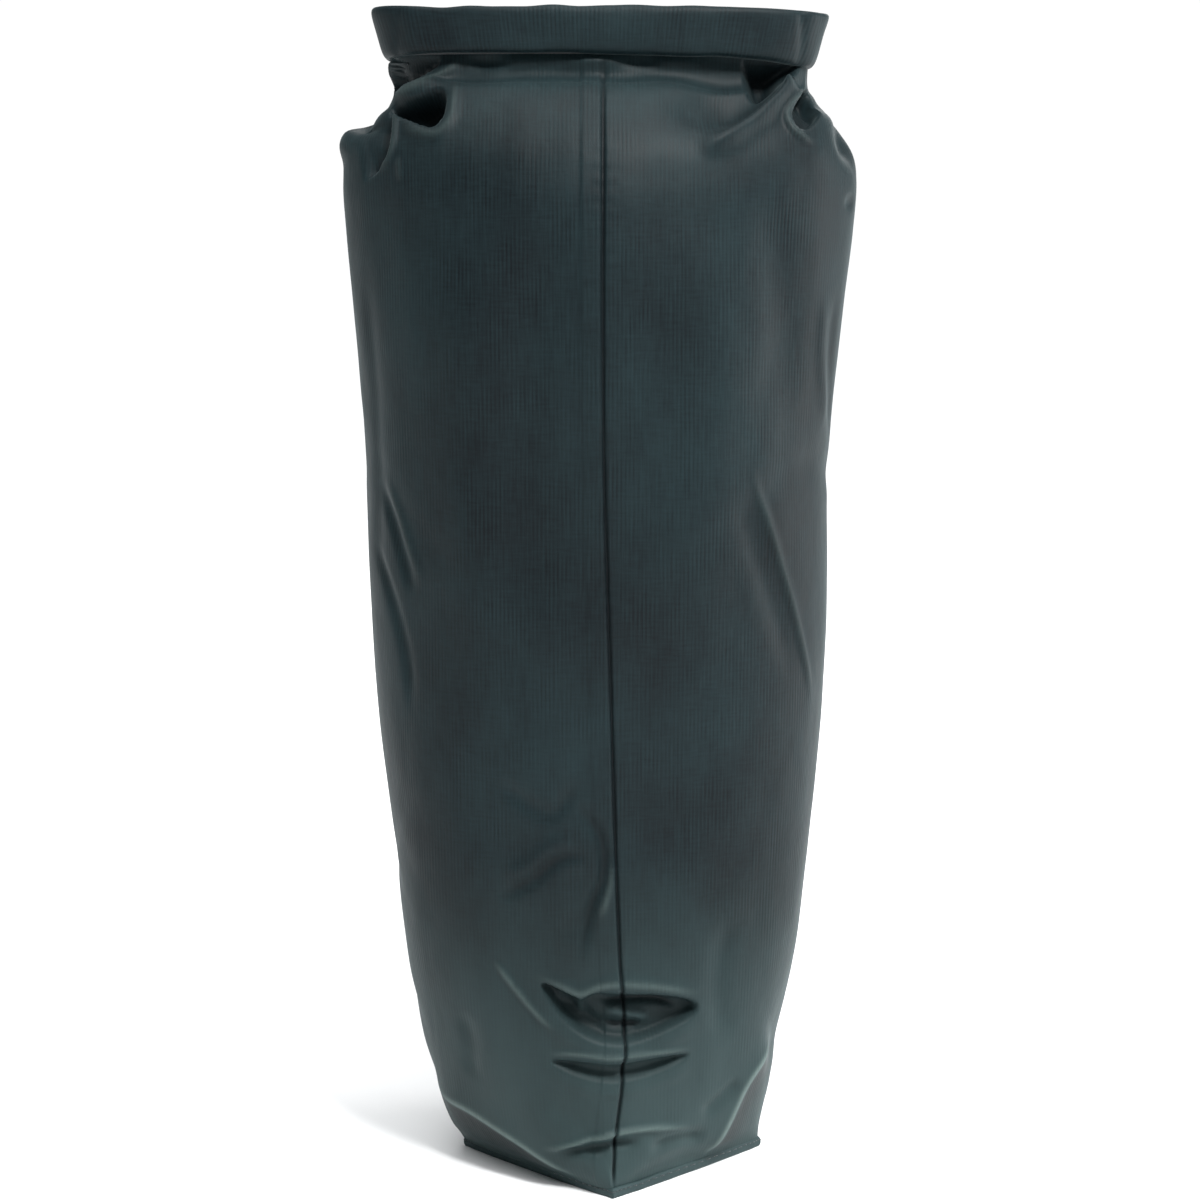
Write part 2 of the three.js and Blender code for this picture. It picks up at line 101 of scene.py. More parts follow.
# Rectangular lamps round the middle of the bag: place, width, height, power.
SOFTBOXES = {
    "left_softbox": ((-1.5, 0.25, 0.5), 0.5, 1.1, 0.5),
    "right_softbox": ((1.5, 0.15, 0.45), 0.6, 1.1, 16),
    "key_softbox": ((0.5, -0.95, 1.6), 0.3, 0.3, 31),
    "back_softbox": ((0.3, 1.7, 0.9), 1.2, 0.9, 9),
}
SKY_POWER = 3.35
SKY_SPREAD = math.radians(75)
ROOM_LIGHT = 0.15
BACKDROP_LIGHT = 1.02


def make_lamps():
    """The softboxes, and broad light from above that is the same everywhere on the floor."""
    for name, (place, width, height, power) in SOFTBOXES.items():
        data = bpy.data.lights.new(name, "AREA")
        configure(data, shape="RECTANGLE", size=width, size_y=height, energy=power)
        aimed(name, data, place, (0, 0, 0.25))
    sky = configure(bpy.data.lights.new("sky", "SUN"), energy=SKY_POWER, angle=SKY_SPREAD)
    aimed("sky", sky, (0.35, -0.5, 3), (0, 0, 0))


def make_world():
    """A dim soft room that shows as a pale backdrop."""
    world = bpy.data.worlds.new("studio")
    world.use_nodes = True
    nodes, links = world.node_tree.nodes, world.node_tree.links
    mix = nodes.new("ShaderNodeMixShader")
    links.new(nodes.new("ShaderNodeLightPath").outputs["Is Camera Ray"], mix.inputs[0])
    room = (nodes["Background"], (0.9, 0.97, 1, 1), ROOM_LIGHT)
    backdrop = (nodes.new("ShaderNodeBackground"), (1, 1, 1, 1), BACKDROP_LIGHT)
    for slot, (light, colour, strength) in enumerate((room, backdrop), 1):
        light.inputs["Color"].default_value = colour
        light.inputs["Strength"].default_value = strength
        links.new(light.outputs[0], mix.inputs[slot])
    links.new(mix.outputs[0], nodes["World Output"].inputs["Surface"])
    bpy.context.scene.world = world


FLOOR_REACH = 60


def make_floor():
    mesh = bpy.data.meshes.new("floor")
    corners = [(x * FLOOR_REACH, y * FLOOR_REACH, 0) for x, y in ((-1, -1), (1, -1), (1, 1), (-1, 1))]
    mesh.from_pydata(corners, [], [(0, 1, 2, 3)])
    mesh.materials.append(floor_paper())
    placed("floor", mesh)


# ---- materials ----
class Nodes:
    """A new material's node tree, with short calls to add nodes to it."""

    def __init__(self, name):
        self.material = bpy.data.materials.new(name)
        self.material.use_nodes = True
        self.tree = self.material.node_tree
        self.shader = self.tree.nodes["Principled BSDF"]

    def put(self, socket, value):
        """Links a socket to another's output, or sets its value. A colour may leave out its alpha."""
        if isinstance(value, bpy.types.NodeSocket):
            self.tree.links.new(value, socket)
        else:
            socket.default_value = (*value, 1) if socket.type == "RGBA" else value

    def add(self, kind, inputs=(), **settings):
        node = configure(self.tree.nodes.new(kind), **settings)
        for key, value in dict(inputs).items():
            self.put(node.inputs[key], value)
        return node

    def math(self, operation, first, second=0.0):
        return self.add("ShaderNodeMath", {0: first, 1: second}, operation=operation).outputs[0]

    def plus(self, first, second):
        return self.math("ADD", first, second)

    def times(self, first, second):
        return self.math("MULTIPLY", first, second)

    def wave(self, value, period):
        return self.math("SINE", self.times(value, TURN / period))

    def solid(self):
        """Places in the piece, in metres."""
        return self.add("ShaderNodeTexCoord").outputs["Object"]

    def cloth(self):
        """Places on the flat cloth, in metres: across and up."""
        return self.add("ShaderNodeUVMap").outputs[0]

    def split(self, vector):
        return self.add("ShaderNodeSeparateXYZ", {"Vector": vector}).outputs

    def noise(self, vector, scale, detail, roughness=0.5):
        inputs = {"Vector": vector, "Scale": scale, "Detail": detail, "Roughness": roughness}
        return self.add("ShaderNodeTexNoise", inputs).outputs["Fac"]

    def stretched(self, vector, scale, detail=2, roughness=0.5, size=1):
        """Noise that is longer in some directions: its scale is given for each axis."""
        vector = self.add("ShaderNodeMapping", {"Vector": vector, "Scale": scale}).outputs[0]
        return self.noise(vector, size, detail, roughness)

    def ranged(self, value, **limits):
        inputs = {key.replace("_", " "): limit for key, limit in limits.items()}
        return self.add("ShaderNodeMapRange", {"Value": value, **inputs}).outputs[0]

    def ramp(self, value, stops):
        node = self.add("ShaderNodeValToRGB", {"Fac": value})
        for element, (position, colour) in zip(node.color_ramp.elements, stops):
            configure(element, position=position, color=(*colour, 1))
        return node.outputs["Color"]

    def mix(self, factor, first, second):
        return self.add("ShaderNodeMix", {0: factor, 6: first, 7: second}, data_type="RGBA").outputs[2]

    def bump(self, height, distance, strength, **under):
        inputs = {"Height": height, "Distance": distance, "Strength": strength, **under}
        return self.add("ShaderNodeBump", inputs).outputs[0]

    def surface(self, **values):
        """Links or sets the shader's sockets, named with underscores for spaces."""
        for key, value in values.items():
            self.put(self.shader.inputs[key.replace("_", " ")], value)
        return self.material


def floor_paper():
    n = Nodes("floor_paper")
    grain = n.noise(n.solid(), 900, 3)
    return n.surface(Base_Color=(0.93, 0.935, 0.94), Roughness=0.9, Normal=n.bump(grain, 0.0002, 0.3))


CORD_PERIOD = 0.00172
NYLON_DARK, NYLON_LIGHT = (0.0017, 0.004, 0.0055), (0.0086, 0.0197, 0.0228)
# Mixed in towards the foot, and as painted light on the neck's upper slope
NYLON_PALE_FOOT_AND_NECK_LIGHT = (0.036, 0.06, 0.061)
NYLON_WORN = (0.13, 0.175, 0.165)
# The colour of painted shade in pockets, valleys and down-facing facets
NYLON_SHADED = (0.0012, 0.002, 0.003)


def coated_nylon(name="coated_nylon", dark=NYLON_DARK, light=NYLON_LIGHT, lightened=0.0):
    """Dark blue-green nylon with a soft coated sheen, fine upright threads and cords that fade in and out;
    paler towards the foot, with painted light on the neck's upper slope, pale along its creases where they
    rub, and painted shade in its pockets, narrow valleys and seam, and on down-facing facets."""
    n = Nodes(name)
    where, solid = n.cloth(), n.solid()
    cloudy = n.stretched(solid, (1, 1, 0.6), 4, 0.6, 17)
    streaks = n.stretched(where, (1500, 60, 1), 2, 0.6)
    slubs = n.stretched(where, (120, 900, 1), 2, 0.6)
    threads = n.plus(n.times(streaks, 0.6), n.times(slubs, 0.4))
    patches = n.math("SUBTRACT", n.stretched(where, (70, 45, 1)), 0.32)
    cords = n.times(n.wave(n.split(where)[0], CORD_PERIOD), patches)
    shade = n.plus(n.plus(n.times(cloudy, 0.56), n.times(threads, 0.44)), n.times(cords, 0.16))
    tall = n.split(solid)[2]
    # Paler towards the bottom; on the bag, also painted light on the neck's upper slope, as if lit from above
    low = n.ranged(tall, From_Min=0.15, From_Max=0.0)
    high = n.ranged(tall, From_Min=0.43, From_Max=0.462)
    pale_foot_and_neck_light = n.plus(n.times(low, n.plus(0.3, cloudy)), n.times(high, n.times(cloudy, lightened)))
    with_pale_foot_and_neck_light = n.mix(pale_foot_and_neck_light, n.ramp(shade, [(0.36, dark), (0.66, light)]), NYLON_PALE_FOOT_AND_NECK_LIGHT)
    # Where positive, pale along worn crease ridges; where negative, painted shade, mixed towards NYLON_SHADED
    wear_and_painted_shade = n.add("ShaderNodeAttribute", attribute_name="wear_and_painted_shade").outputs["Fac"]
    pale = n.times(n.math("MAXIMUM", wear_and_painted_shade, 0.0), n.plus(0.35, threads))
    shaded = n.times(n.math("MINIMUM", wear_and_painted_shade, 0.0), -0.85)
    pucker = n.bump(n.stretched(where, (95, 60, 1), 3, 0.5), 0.0012, 0.3)
    return n.surface(
        Base_Color=n.mix(shaded, n.mix(pale, with_pale_foot_and_neck_light, NYLON_WORN), NYLON_SHADED),
        Roughness=n.ranged(threads, To_Min=0.46, To_Max=0.64),
        Specular_IOR_Level=0.14,
        Sheen_Weight=0.07,
        Sheen_Roughness=0.4,
        Sheen_Tint=(0.62, 0.8, 0.82),
        Normal=n.bump(n.plus(n.times(cords, 0.9), threads), 0.00012, 0.6, Normal=pucker),
    )


RIB_PERIOD, WARP_PERIOD = 0.0021, 0.0011


def webbing_weave():
    """Black webbing with diagonal ribs."""
    n = Nodes("webbing_weave")
    where = n.cloth()
    along, across, _ = n.split(where)
    ribs = n.wave(n.plus(along, n.math("ABSOLUTE", n.times(across, 1.4))), RIB_PERIOD)
    cords = n.wave(across, WARP_PERIOD)
    fuzz = n.stretched(where, (2200, 2200, 1))
    height = n.plus(n.times(ribs, 0.6), n.plus(n.times(cords, 0.5), fuzz))
    shade = n.ranged(height, From_Min=-1.0, From_Max=1.9)
    return n.surface(
        Base_Color=n.ramp(shade, [(0.1, (0.007, 0.008, 0.009)), (0.9, (0.03, 0.034, 0.036))]),
        Roughness=0.78,
        Sheen_Weight=0.35,
        Sheen_Roughness=0.5,
        Normal=n.bump(height, 0.00025, 0.8),
    )


def moulded_plastic(name, dark=(0.005, 0.0054, 0.006), light=(0.011, 0.0118, 0.013)):
    """Acetal buckle plastic: fine spark texture, polished where hands rub it."""
    n = Nodes(name)
    where = n.solid()
    worn = n.noise(where, 160, 3, 0.6)
    edges = n.add("ShaderNodeNewGeometry").outputs["Pointiness"]
    lightened = n.ramp(edges, [(0.5, (0, 0, 0)), (0.62, (1, 1, 1))])
    return n.surface(
        Base_Color=n.mix(lightened, n.ramp(worn, [(0.3, dark), (0.75, light)]), (0.03, 0.032, 0.034)),
        Roughness=n.ranged(worn, To_Min=0.32, To_Max=0.52),
        Normal=n.bump(n.noise(where, 3800, 2, 0.6), 0.00008, 0.35),
    )


def stitching_thread():
    n = Nodes("stitching_thread")
    twist = n.stretched(n.solid(), (2600, 2600, 900), 1)
    return n.surface(
        Base_Color=n.ramp(twist, [(0.3, (0.006, 0.008, 0.01)), (0.8, (0.022, 0.027, 0.031))]),
        Roughness=0.6,
        Sheen_Weight=0.3,
        Normal=n.bump(twist, 0.0002, 0.6),
    )


def welded_tape():
    n = Nodes("welded_tape")
    where = n.solid()
    return n.surface(
        Base_Color=n.ramp(n.noise(where, 60, 3), [(0.3, (0.055, 0.066, 0.068)), (0.7, (0.085, 0.1, 0.103))]),
        Roughness=0.42,
        Normal=n.bump(n.noise(where, 700, 2), 0.0002, 0.4),
    )


# ---- geometry helpers ----
UV_JUMP, UV_STEP = 50, 2  # where a round piece's UV starts again, its last face goes one step on instead


def smoothed(mesh):
    mesh.polygons.foreach_set("use_smooth", np.full(len(mesh.polygons), True))
    mesh.update()
    return mesh


def mesh_object(name, points, faces, uv=None):
    """An object from points in millimetres, quads by index, and one UV per point."""
    mesh = bpy.data.meshes.new(name)
    mesh.from_pydata((np.asarray(points).reshape(-1, 3) * MM).tolist(), [], np.asarray(faces).tolist())
    if uv is not None:
        layer = mesh.uv_layers.new(name="cloth")
        corners = np.empty(len(mesh.loops), np.int32)
        mesh.loops.foreach_get("vertex_index", corners)
        places = np.asarray(uv).reshape(-1, 2)[corners].reshape(-1, 4, 2)
        highest = places[..., 0].max(1, keepdims=True)
        places[..., 0] = np.where(highest - places[..., 0] > UV_JUMP, highest + UV_STEP, places[..., 0])
        layer.data.foreach_set("uv", (places * MM).astype(np.float32).ravel())
    return placed(name, smoothed(mesh))


def spread(*parts):
    """Arrays stretched to one shape and stacked on a last axis."""
    return np.stack(np.broadcast_arrays(*parts), -1)


def grid_faces(rows, columns, round_rows=False):
    """Quads between closed rings of points, ring after ring. The last ring may go on to the first."""
    r = np.arange(rows if round_rows else rows - 1)[:, None]
    c = np.arange(columns)[None, :]
    up, across = (r + 1) % rows, (c + 1) % columns
    corners = (r, c), (r, across), (up, across), (up, c)
    return spread(*(row * columns + column for row, column in corners)).reshape(-1, 4)


def full_turn(count, start=0.0):
    return np.linspace(start, start + TURN, count, endpoint=False)


def superellipse(angles, a, b, n):
    c, s = np.cos(angles), np.sin(angles)
    return np.sign(c) * np.abs(c) ** (2 / n) * a, np.sign(s) * np.abs(s) ** (2 / n) * b


def gaps(points):
    """The distance from each point, or each point of a row, to the next."""
    return np.linalg.norm(np.diff(points, axis=0), axis=-1)


def running(steps):
    """Running totals of steps, from 0."""
    return np.concatenate([[0], np.cumsum(steps)])


def bell(x):
    return np.exp(-(x**2))


def unit(vectors):
    return vectors / np.maximum(np.linalg.norm(vectors, axis=-1, keepdims=True), 1e-9)


def smoothstep(x, low, high):
    t = np.clip((x - low) / (high - low), 0, 1)
    return t * t * (3 - 2 * t)


def noise(points, size, seed):
    """Smooth seeded noise from -1 to 1 at points, with lumps about size across."""
    lattice = np.random.default_rng(seed).uniform(-1, 1, (32, 32, 32))
    p = np.asarray(points) / size
    cell = np.floor(p).astype(int)
    t = p - cell
    t = t * t * (3 - 2 * t)
    total = 0
    for corner in np.ndindex(2, 2, 2):
        index = (cell + corner) % 32
        weight = np.prod(np.where(np.array(corner) == 1, t, 1 - t), axis=-1)
        total = total + weight * lattice[index[..., 0], index[..., 1], index[..., 2]]
    return total


def lumps(points, *layers):
    """Layers of noise together, each with its height, size and seed."""
    return sum(height * noise(points, size, seed) for height, size, seed in layers)


def hermite(knots, values, x):
    """A smooth curve through values at knots, read at x."""
    values = np.asarray(values, float)
    slopes = np.gradient(values, knots, axis=0)
    k = np.clip(np.searchsorted(knots, x, side="right") - 1, 0, len(knots) - 2)
    span = (knots[k + 1] - knots[k])[:, None]
    t = np.clip((x - knots[k])[:, None] / span, 0, 1)
    return (
        values[k] * (2 * t**3 - 3 * t**2 + 1)
        + values[k + 1] * (3 * t**2 - 2 * t**3)
        + slopes[k] * span * (t**3 - 2 * t**2 + t)
        + slopes[k + 1] * span * (t**3 - t**2)
    )


# ---- the shell of cloth ----
# Rings of the shell from the base seam up the wall, in under the collar, and down into the hollow of the
# loop: height, half-width in X, half-depth in Y, roundness (1 diamond, 2 ellipse, more is squarer).
WALL = [
    (1.2, 65.4, 62.0, 1.04),
    (6, 67.2, 62.6, 1.09),
    (14, 70.2, 63.0, 1.2),
    (36, 76.2, 63.6, 1.42),
    (78, 85.0, 65.4, 1.75),
    (142, 92.4, 69.0, 1.98),
    (228, 99.9, 74.0, 2.08),
    (313, 101.4, 78.2, 2.1),
    (377, 106.6, 78.6, 2.06),
    (405, 109.0, 76.6, 2.0),
]
NECK = [
    (425, 109.8, 73.2, 2.0),
    (438, 108.4, 68.6, 2.0),
    (448, 103.6, 62.0, 2.0),
    (456, 97.4, 53.6, 2.1),
    (463, 93.2, 45.0, 2.3),
    (470, 90.4, 35.6, 2.5),
    (476.4, 88.2, 30.0, 2.65),
    (479.9, 87.0, 27.6, 2.7),
]
HOLLOW = [
    (478.5, 85.2, 25.4, 2.7),
    (469, 77.0, 19.6, 2.3),
    (462, 60.0, 15.5, 2.0),
    (456.8, 44.0, 11.5, 2.0),
    (454.3, 27.0, 8.0, 2.0),
    (453.2, 14.0, 5.0, 2.0),
    (453.0, 0.3, 0.15, 2.0),
]
RINGS = np.array(WALL + NECK + HOLLOW, float)
RING_AT = running(np.hypot(np.diff(RINGS[:, 0]), np.diff(RINGS[:, 1:3].mean(1))))
COLLAR_AT = RING_AT[len(WALL + NECK) - 1]  # where the shell goes in under the collar
FOOT_SHIFT = 5.0  # the base stands a little to the right of the bag's middle
FOOT_SHIFT_FADE = 30.0
DIP_DEPTH = 15.0  # how far the neck drops under the buckle, so that fingers reach it
DIP_WIDTH = 0.62
FRONT_RISE = 4.0  # how much higher the neck reaches in front, where the roll's lower edge is arched
FRONT_RISE_OVER = 466, 479.9
DIP_FROM, DIP_FULL = 453.0, 476.2


def shell_points(angles, places):
    """The plain stuffed shape, before it is settled or creased: a grid of points, ring after ring."""
    z, a, b, n = hermite(RING_AT, RINGS, places).T[:, :, None]
    x, y = superellipse(angles[None], a, b, n)
    x = x + FOOT_SHIFT * np.exp(-z / FOOT_SHIFT_FADE)
    behind = np.clip(1 - (np.abs(np.cos(angles)) / DIP_WIDTH) ** 2, 0, 1) ** 2 * (np.sin(angles) > 0)
    z = z - DIP_DEPTH * behind * np.clip((z - DIP_FROM) / (DIP_FULL - DIP_FROM), 0, 1)
    return spread(x, y, z)


def outward_ways(points):
    """The outward normal at each point of a shell."""
    around = unit(np.roll(points, -1, 1) - np.roll(points, 1, 1))
    up = unit(np.gradient(points, axis=0))
    return unit(np.cross(around, up))


def slack(z):
    """How much higher the cloth starts than it ends, since the stuffing doesn't fill all its length."""
    foot = 0.05 * np.clip(z, 0, 110)
    middle = 0.008 * np.clip(z - 110, 0, 280)
    neck = 0.05 * np.clip(z - 390, 0, 90)
    return foot + middle + neck


SETTLE_COLUMNS = 132
SETTLE_ROWS = 150
SETTLE_FRAMES = 26
SETTLE_LIMIT = 5.0  # no point moves further than this from the plain shape
SETTLE_CLOTH = dict(
    quality=6,
    mass=0.2,
    tension_stiffness=25,
    compression_stiffness=25,
    shear_stiffness=12,
    bending_stiffness=0.35,
    air_damping=3,
    use_pressure=True,
    uniform_pressure_force=3.0,
    vertex_group_mass="held",
)


def settled_cloth():
    """Simulates the wall as cloth under pressure from its stuffing while its top is pushed down to its final
    height. Returns how far each point of a coarse grid moves."""
    plain = shell_points(full_turn(SETTLE_COLUMNS), np.linspace(0, COLLAR_AT, SETTLE_ROWS))
    obj = mesh_object("settling", plain, grid_faces(SETTLE_ROWS, SETTLE_COLUMNS))
    obj.shape_key_add(name="plain")
    tall = obj.shape_key_add(name="tall")
    raised = plain.copy()
    raised[..., 2] += slack(plain[..., 2])
    tall.data.foreach_set("co", (raised * MM).ravel())
    scene = bpy.context.scene
    scene.frame_start, scene.frame_end = 1, SETTLE_FRAMES
    for at, value in ((1, 1.0), (SETTLE_FRAMES * 2 // 3, 0.0)):
        tall.value = value
        tall.keyframe_insert("value", frame=at)
    pins = obj.vertex_groups.new(name="held")
    last = (SETTLE_ROWS - 1) * SETTLE_COLUMNS
    pins.add(list(range(SETTLE_COLUMNS)) + list(range(last, last + SETTLE_COLUMNS)), 1.0, "REPLACE")
    cloth = obj.modifiers.new("cloth", "CLOTH")
    configure(cloth.settings, **SETTLE_CLOTH)
    cloth.settings.effector_weights.gravity = 0
    cloth.collision_settings.use_collision = False
    cloth.point_cache.frame_start, cloth.point_cache.frame_end = 1, SETTLE_FRAMES
    for at in range(1, SETTLE_FRAMES + 1):
        scene.frame_set(at)
    settled = obj.evaluated_get(bpy.context.evaluated_depsgraph_get()).to_mesh()
    points = np.empty(len(settled.vertices) * 3)
    settled.vertices.foreach_get("co", points)
    moved = points.reshape(plain.shape) / MM - plain
    scene.frame_set(1)
    bpy.data.objects.remove(obj, do_unlink=True)
    for _ in range(2):  # takes out what is as fine as the grid
        moved[1:-1] = (moved[:-2] + 2 * moved[1:-1] + moved[2:]) / 4
        moved = (np.roll(moved, 1, 1) + 2 * moved + np.roll(moved, -1, 1)) / 4
    length = np.linalg.norm(moved, axis=-1, keepdims=True)
    return moved * SETTLE_LIMIT * np.tanh(length / SETTLE_LIMIT) / np.maximum(length, 1e-9)


def resampled(field, columns_at, rows_at):
    """A coarse grid's values on a finer one, on a smooth curve both ways. Places are in coarse steps."""

    def along(values, at, wrap):
        count = len(values)
        whole = np.floor(at).astype(int)
        t = (at - whole)[:, None, None]
        taps = (
            -t**3 / 2 + t**2 - t / 2,
            3 * t**3 / 2 - 5 * t**2 / 2 + 1,
            -3 * t**3 / 2 + 2 * t**2 + t / 2,
            t**3 / 2 - t**2 / 2,
        )
        total = 0
        for step, tap in zip((-1, 0, 1, 2), taps):
            index = (whole + step) % count if wrap else np.clip(whole + step, 0, count - 1)
            total = total + tap * values[index]
        return total

    rows = along(field, rows_at, False)
    return along(rows.swapaxes(0, 1), columns_at, True).swapaxes(0, 1)


# ---- creases in the shell ----
# The long seam's line down the front: x, height.
SEAM = [(0.7, 478), (1, 323), (4, 219), (6.8, 132), (7.9, 106), (10.3, 68), (8.8, 50), (6, 25), (5.5, 0)]

# Each fold: its line as (x, height) on the front or the back, its half-width, and its height (a valley's is
# negative). A kind comes first where it isn't a plain line. A dimple has a middle, two half-sizes and a
# height. A pocket is a closed outline that goes in, with painted shade inside. A step drops on the left of
# its line, going along, with painted shade on the dropped side. A crest is a ridge with a sharp top, pale
# along it, with painted shade on the facet to its right.
FRONT_FOLDS = [
    # left of the neck: a wedge under the collar, a ridge, a deep tuck, and a lobe behind a crisp edge
    ("pocket", [(-88, 467), (-83, 467.5), (-73, 473.5), (-63, 480.5), (-87, 481)], 1.6, -8.0),
    ([(-88, 461.5), (-80, 466), (-73, 469.4), (-65, 473.5), (-57, 480)], 2.6, 2.6),
    ("pocket", [(-89, 459), (-76, 463), (-68, 467), (-64, 466), (-63.5, 460), (-65, 454.5), (-69, 451),
        (-81, 456)], 1.8, -15.0),
    ([(-60, 472), (-60, 463), (-61, 455), (-66, 449), (-74, 449.5), (-83, 454.5)], 2.6, 1.8),
    ("dimple", (-100, 454.5), (18, 5), -4.6),
    ("dimple", (-108, 446), (16, 6.5), 4.0),
    ("dimple", (-92, 476), (14, 7), 3.0),
    ("step", [(-98, 429), (-91, 435), (-87.5, 441), (-86.5, 448), (-86, 455), (-85.5, 461)], 12.0, -7.0),
    ([(-84.6, 460), (-84.6, 452), (-85.2, 445), (-87, 439.5), (-92, 433.5)], 1.5, 1.6),
    ([(-83, 440), (-82, 430)], 1.6, 1.0),
    ([(-93, 470), (-87, 466)], 1.6, -2.0),
    ("dimple", (-46, 479), (8, 3.5), -3.2),
    # right of the neck: a fold under the collar, a ridge down from its end, a broad dimple, a small tuck
    ("step", [(44, 445), (58.5, 454), (67, 459.8), (74.6, 466.8), (80, 474), (85, 483),
        (91, 500)], 13.0, -4.0),
    ("pocket", [(58, 483), (85, 482), (75, 471.5), (69, 465.5), (64, 462.5), (60, 470)], 5.5, -8.5),
    ([(86, 477), (80.5, 474), (74.6, 465.6), (67, 458.6), (58.5, 452.8), (46, 446), (36, 443)], 4.6, 5.0),
    ("dimple", (45, 460), (17, 9.5), -5.4),
    ("pocket", [(85.5, 469), (79.5, 461.5), (78, 455.5), (82.5, 450), (88, 453.5), (90, 461)], 1.8, -7.0),
    ([(85.4, 473), (83.3, 467.5), (78.2, 461), (75.6, 456), (77.4, 451.5), (82.6, 447.4),
        (88, 445.6)], 1.5, 2.3),
    ("dimple", (93, 463.5), (12, 5), 2.0),
    ("dimple", (104, 447), (14, 10), -6.0),
    ("dimple", (104, 421), (6, 3), -1.5),
    ("dimple", (15, 479), (9, 3), -2.4),
    ([(-62, 479), (-30, 479.4), (0, 479.2), (30, 478.6), (56, 477)], 3.8, 2.6),
    # the middle of the wall: long soft folds
    ([(60, 316), (67, 296), (78, 262), (86, 230), (90, 206)], 2.0, 1.5),
    ([(55, 308), (62, 285), (73, 252), (81, 222)], 6.5, -1.6),
    ([(-93, 306), (-86, 286), (-78, 258)], 3.2, -1.8),
    ([(-90, 309), (-82, 286), (-74, 262)], 2.6, 1.0),
    ([(-96, 280), (-88, 256), (-81, 226), (-80, 206)], 3.4, -1.8),
    ([(-99, 402), (-96, 366), (-94, 330), (-94, 250)], 6.0, -1.0),
    ([(93, 388), (91.5, 356), (94, 326)], 3.6, 1.1),
    ([(98, 386), (96, 352), (98, 320)], 4.4, -1.2),
    ([(-11, 178), (-9.5, 174), (-3, 166), (1.2, 152), (0, 141), (-4, 131), (-7, 116), (-9, 104)], 2.9, -2.7),
    ([(-11, 150), (-9, 138), (-9.5, 126), (-13, 112)], 5.0, -1.6),
    ([(-44, 131), (-37, 136), (-27.6, 142), (-18, 150.5), (-10, 152), (-3, 148)], 2.9, -1.9),
    ([(-42, 140), (-31, 147), (-20, 156), (-11, 160)], 3.6, 1.4),
    ([(-44, 184), (-36, 178), (-29.4, 173.5), (-20, 170.5), (-13, 179), (-8, 186)], 3.2, -1.6),
    ([(-1, 124), (1.5, 131), (4, 141), (5, 152)], 2.0, 0.9),
    ([(-20, 430), (-27, 360), (-28, 300), (-20, 240)], 15.0, -2.4),
    ([(-54, 405), (-58, 350), (-56, 290), (-50, 220)], 15.0, 1.8),
    ([(36, 425), (43, 360), (42, 300), (34, 230)], 17.0, 1.8),
    ([(70, 430), (74, 370), (70, 330)], 12.0, -1.8),
    ([(-46, 105), (-35, 90.7), (-28, 82.5), (-19.4, 74.2)], 1.5, 1.2),
    ([(-60, 78), (-56, 62), (-56, 44)], 5.0, -1.4),
    ([(57, 124), (51, 104), (50, 84), (54, 62)], 6.0, -1.6),
    # above the foot: a mouth-shaped pocket where the wall buckles, with two lower wrinkles
    ("pocket", [(-26.5, 96.5), (-17, 92.7), (-11.5, 90), (-8, 88.6), (-4.4, 91.4), (1, 92), (10, 91),
        (25.6, 90), (38.2, 86.4), (42, 82), (38.2, 77.6), (25.6, 72.4), (17, 69.8), (8.5, 68.6),
        (-4.4, 70.6), (-15.4, 78), (-23, 88.5)], 2.4, -7.0),
    ([(-31, 96), (-22, 79), (-8, 67.5), (10, 64.5), (30, 68.5), (46, 80)], 3.6, 1.0),
    ([(-30, 99), (-18, 95), (-9, 91.5), (0, 95), (20, 94.5), (44, 88)], 2.9, 1.2),
    ([(-20, 89), (-17, 86.5), (-10, 82.5), (-4, 77.5), (4, 74.5)], 3.4, -2.4),
    ([(-8, 90), (-9.6, 85), (-8, 79.5)], 1.8, 1.4),
    ([(-3, 88), (3, 86.8), (14, 86.4), (26, 85), (35, 81)], 1.6, -2.8),
    ([(0, 83), (9, 81), (16, 79), (22, 77.5)], 2.4, 1.9),
    ([(0, 76.8), (8, 75.3), (18, 75.5)], 1.9, -2.2),
    ("pocket", [(-25, 61), (-8, 61.5), (6, 60), (22, 61.5), (41, 61.5), (26, 54.5), (8, 51.5),
        (-10, 54)], 2.8, -4.6),
    ([(-24, 63.6), (-8, 64.6), (4, 63.4), (20, 64.2), (40, 63.5)], 1.3, 1.5),
    ([(-24, 56), (-8, 49.5), (8, 47), (26, 50), (42, 57)], 3.0, 0.7),
    ([(-26, 19.5), (-12, 23), (-2, 26.8), (8, 29), (21, 29), (40, 25.2)], 1.3, 2.4),
    ([(-18, 18.5), (-6, 21), (6, 23.5), (18, 23.5)], 2.8, -3.0),
    ([(20, 19), (32, 21), (46, 18)], 3.4, -2.6),
    ([(60, 44), (52, 36), (43, 29)], 3.4, -1.8),
    ("dimple", (78, 36), (14, 13), 2.6),
    # facets where the wall folds down to the square foot
    ("crest", [(-76, 33), (-69, 30.5), (-60, 29.6), (-50.8, 26.8), (-35.7, 20.4), (-24, 15), (-13, 7.6),
        (-7, 3.5)], 13.0, 4.8),
    ("crest", [(43, 1), (46.5, 8), (56, 25), (63, 40), (70, 50), (76, 60)], 10.0, 4.0),
]

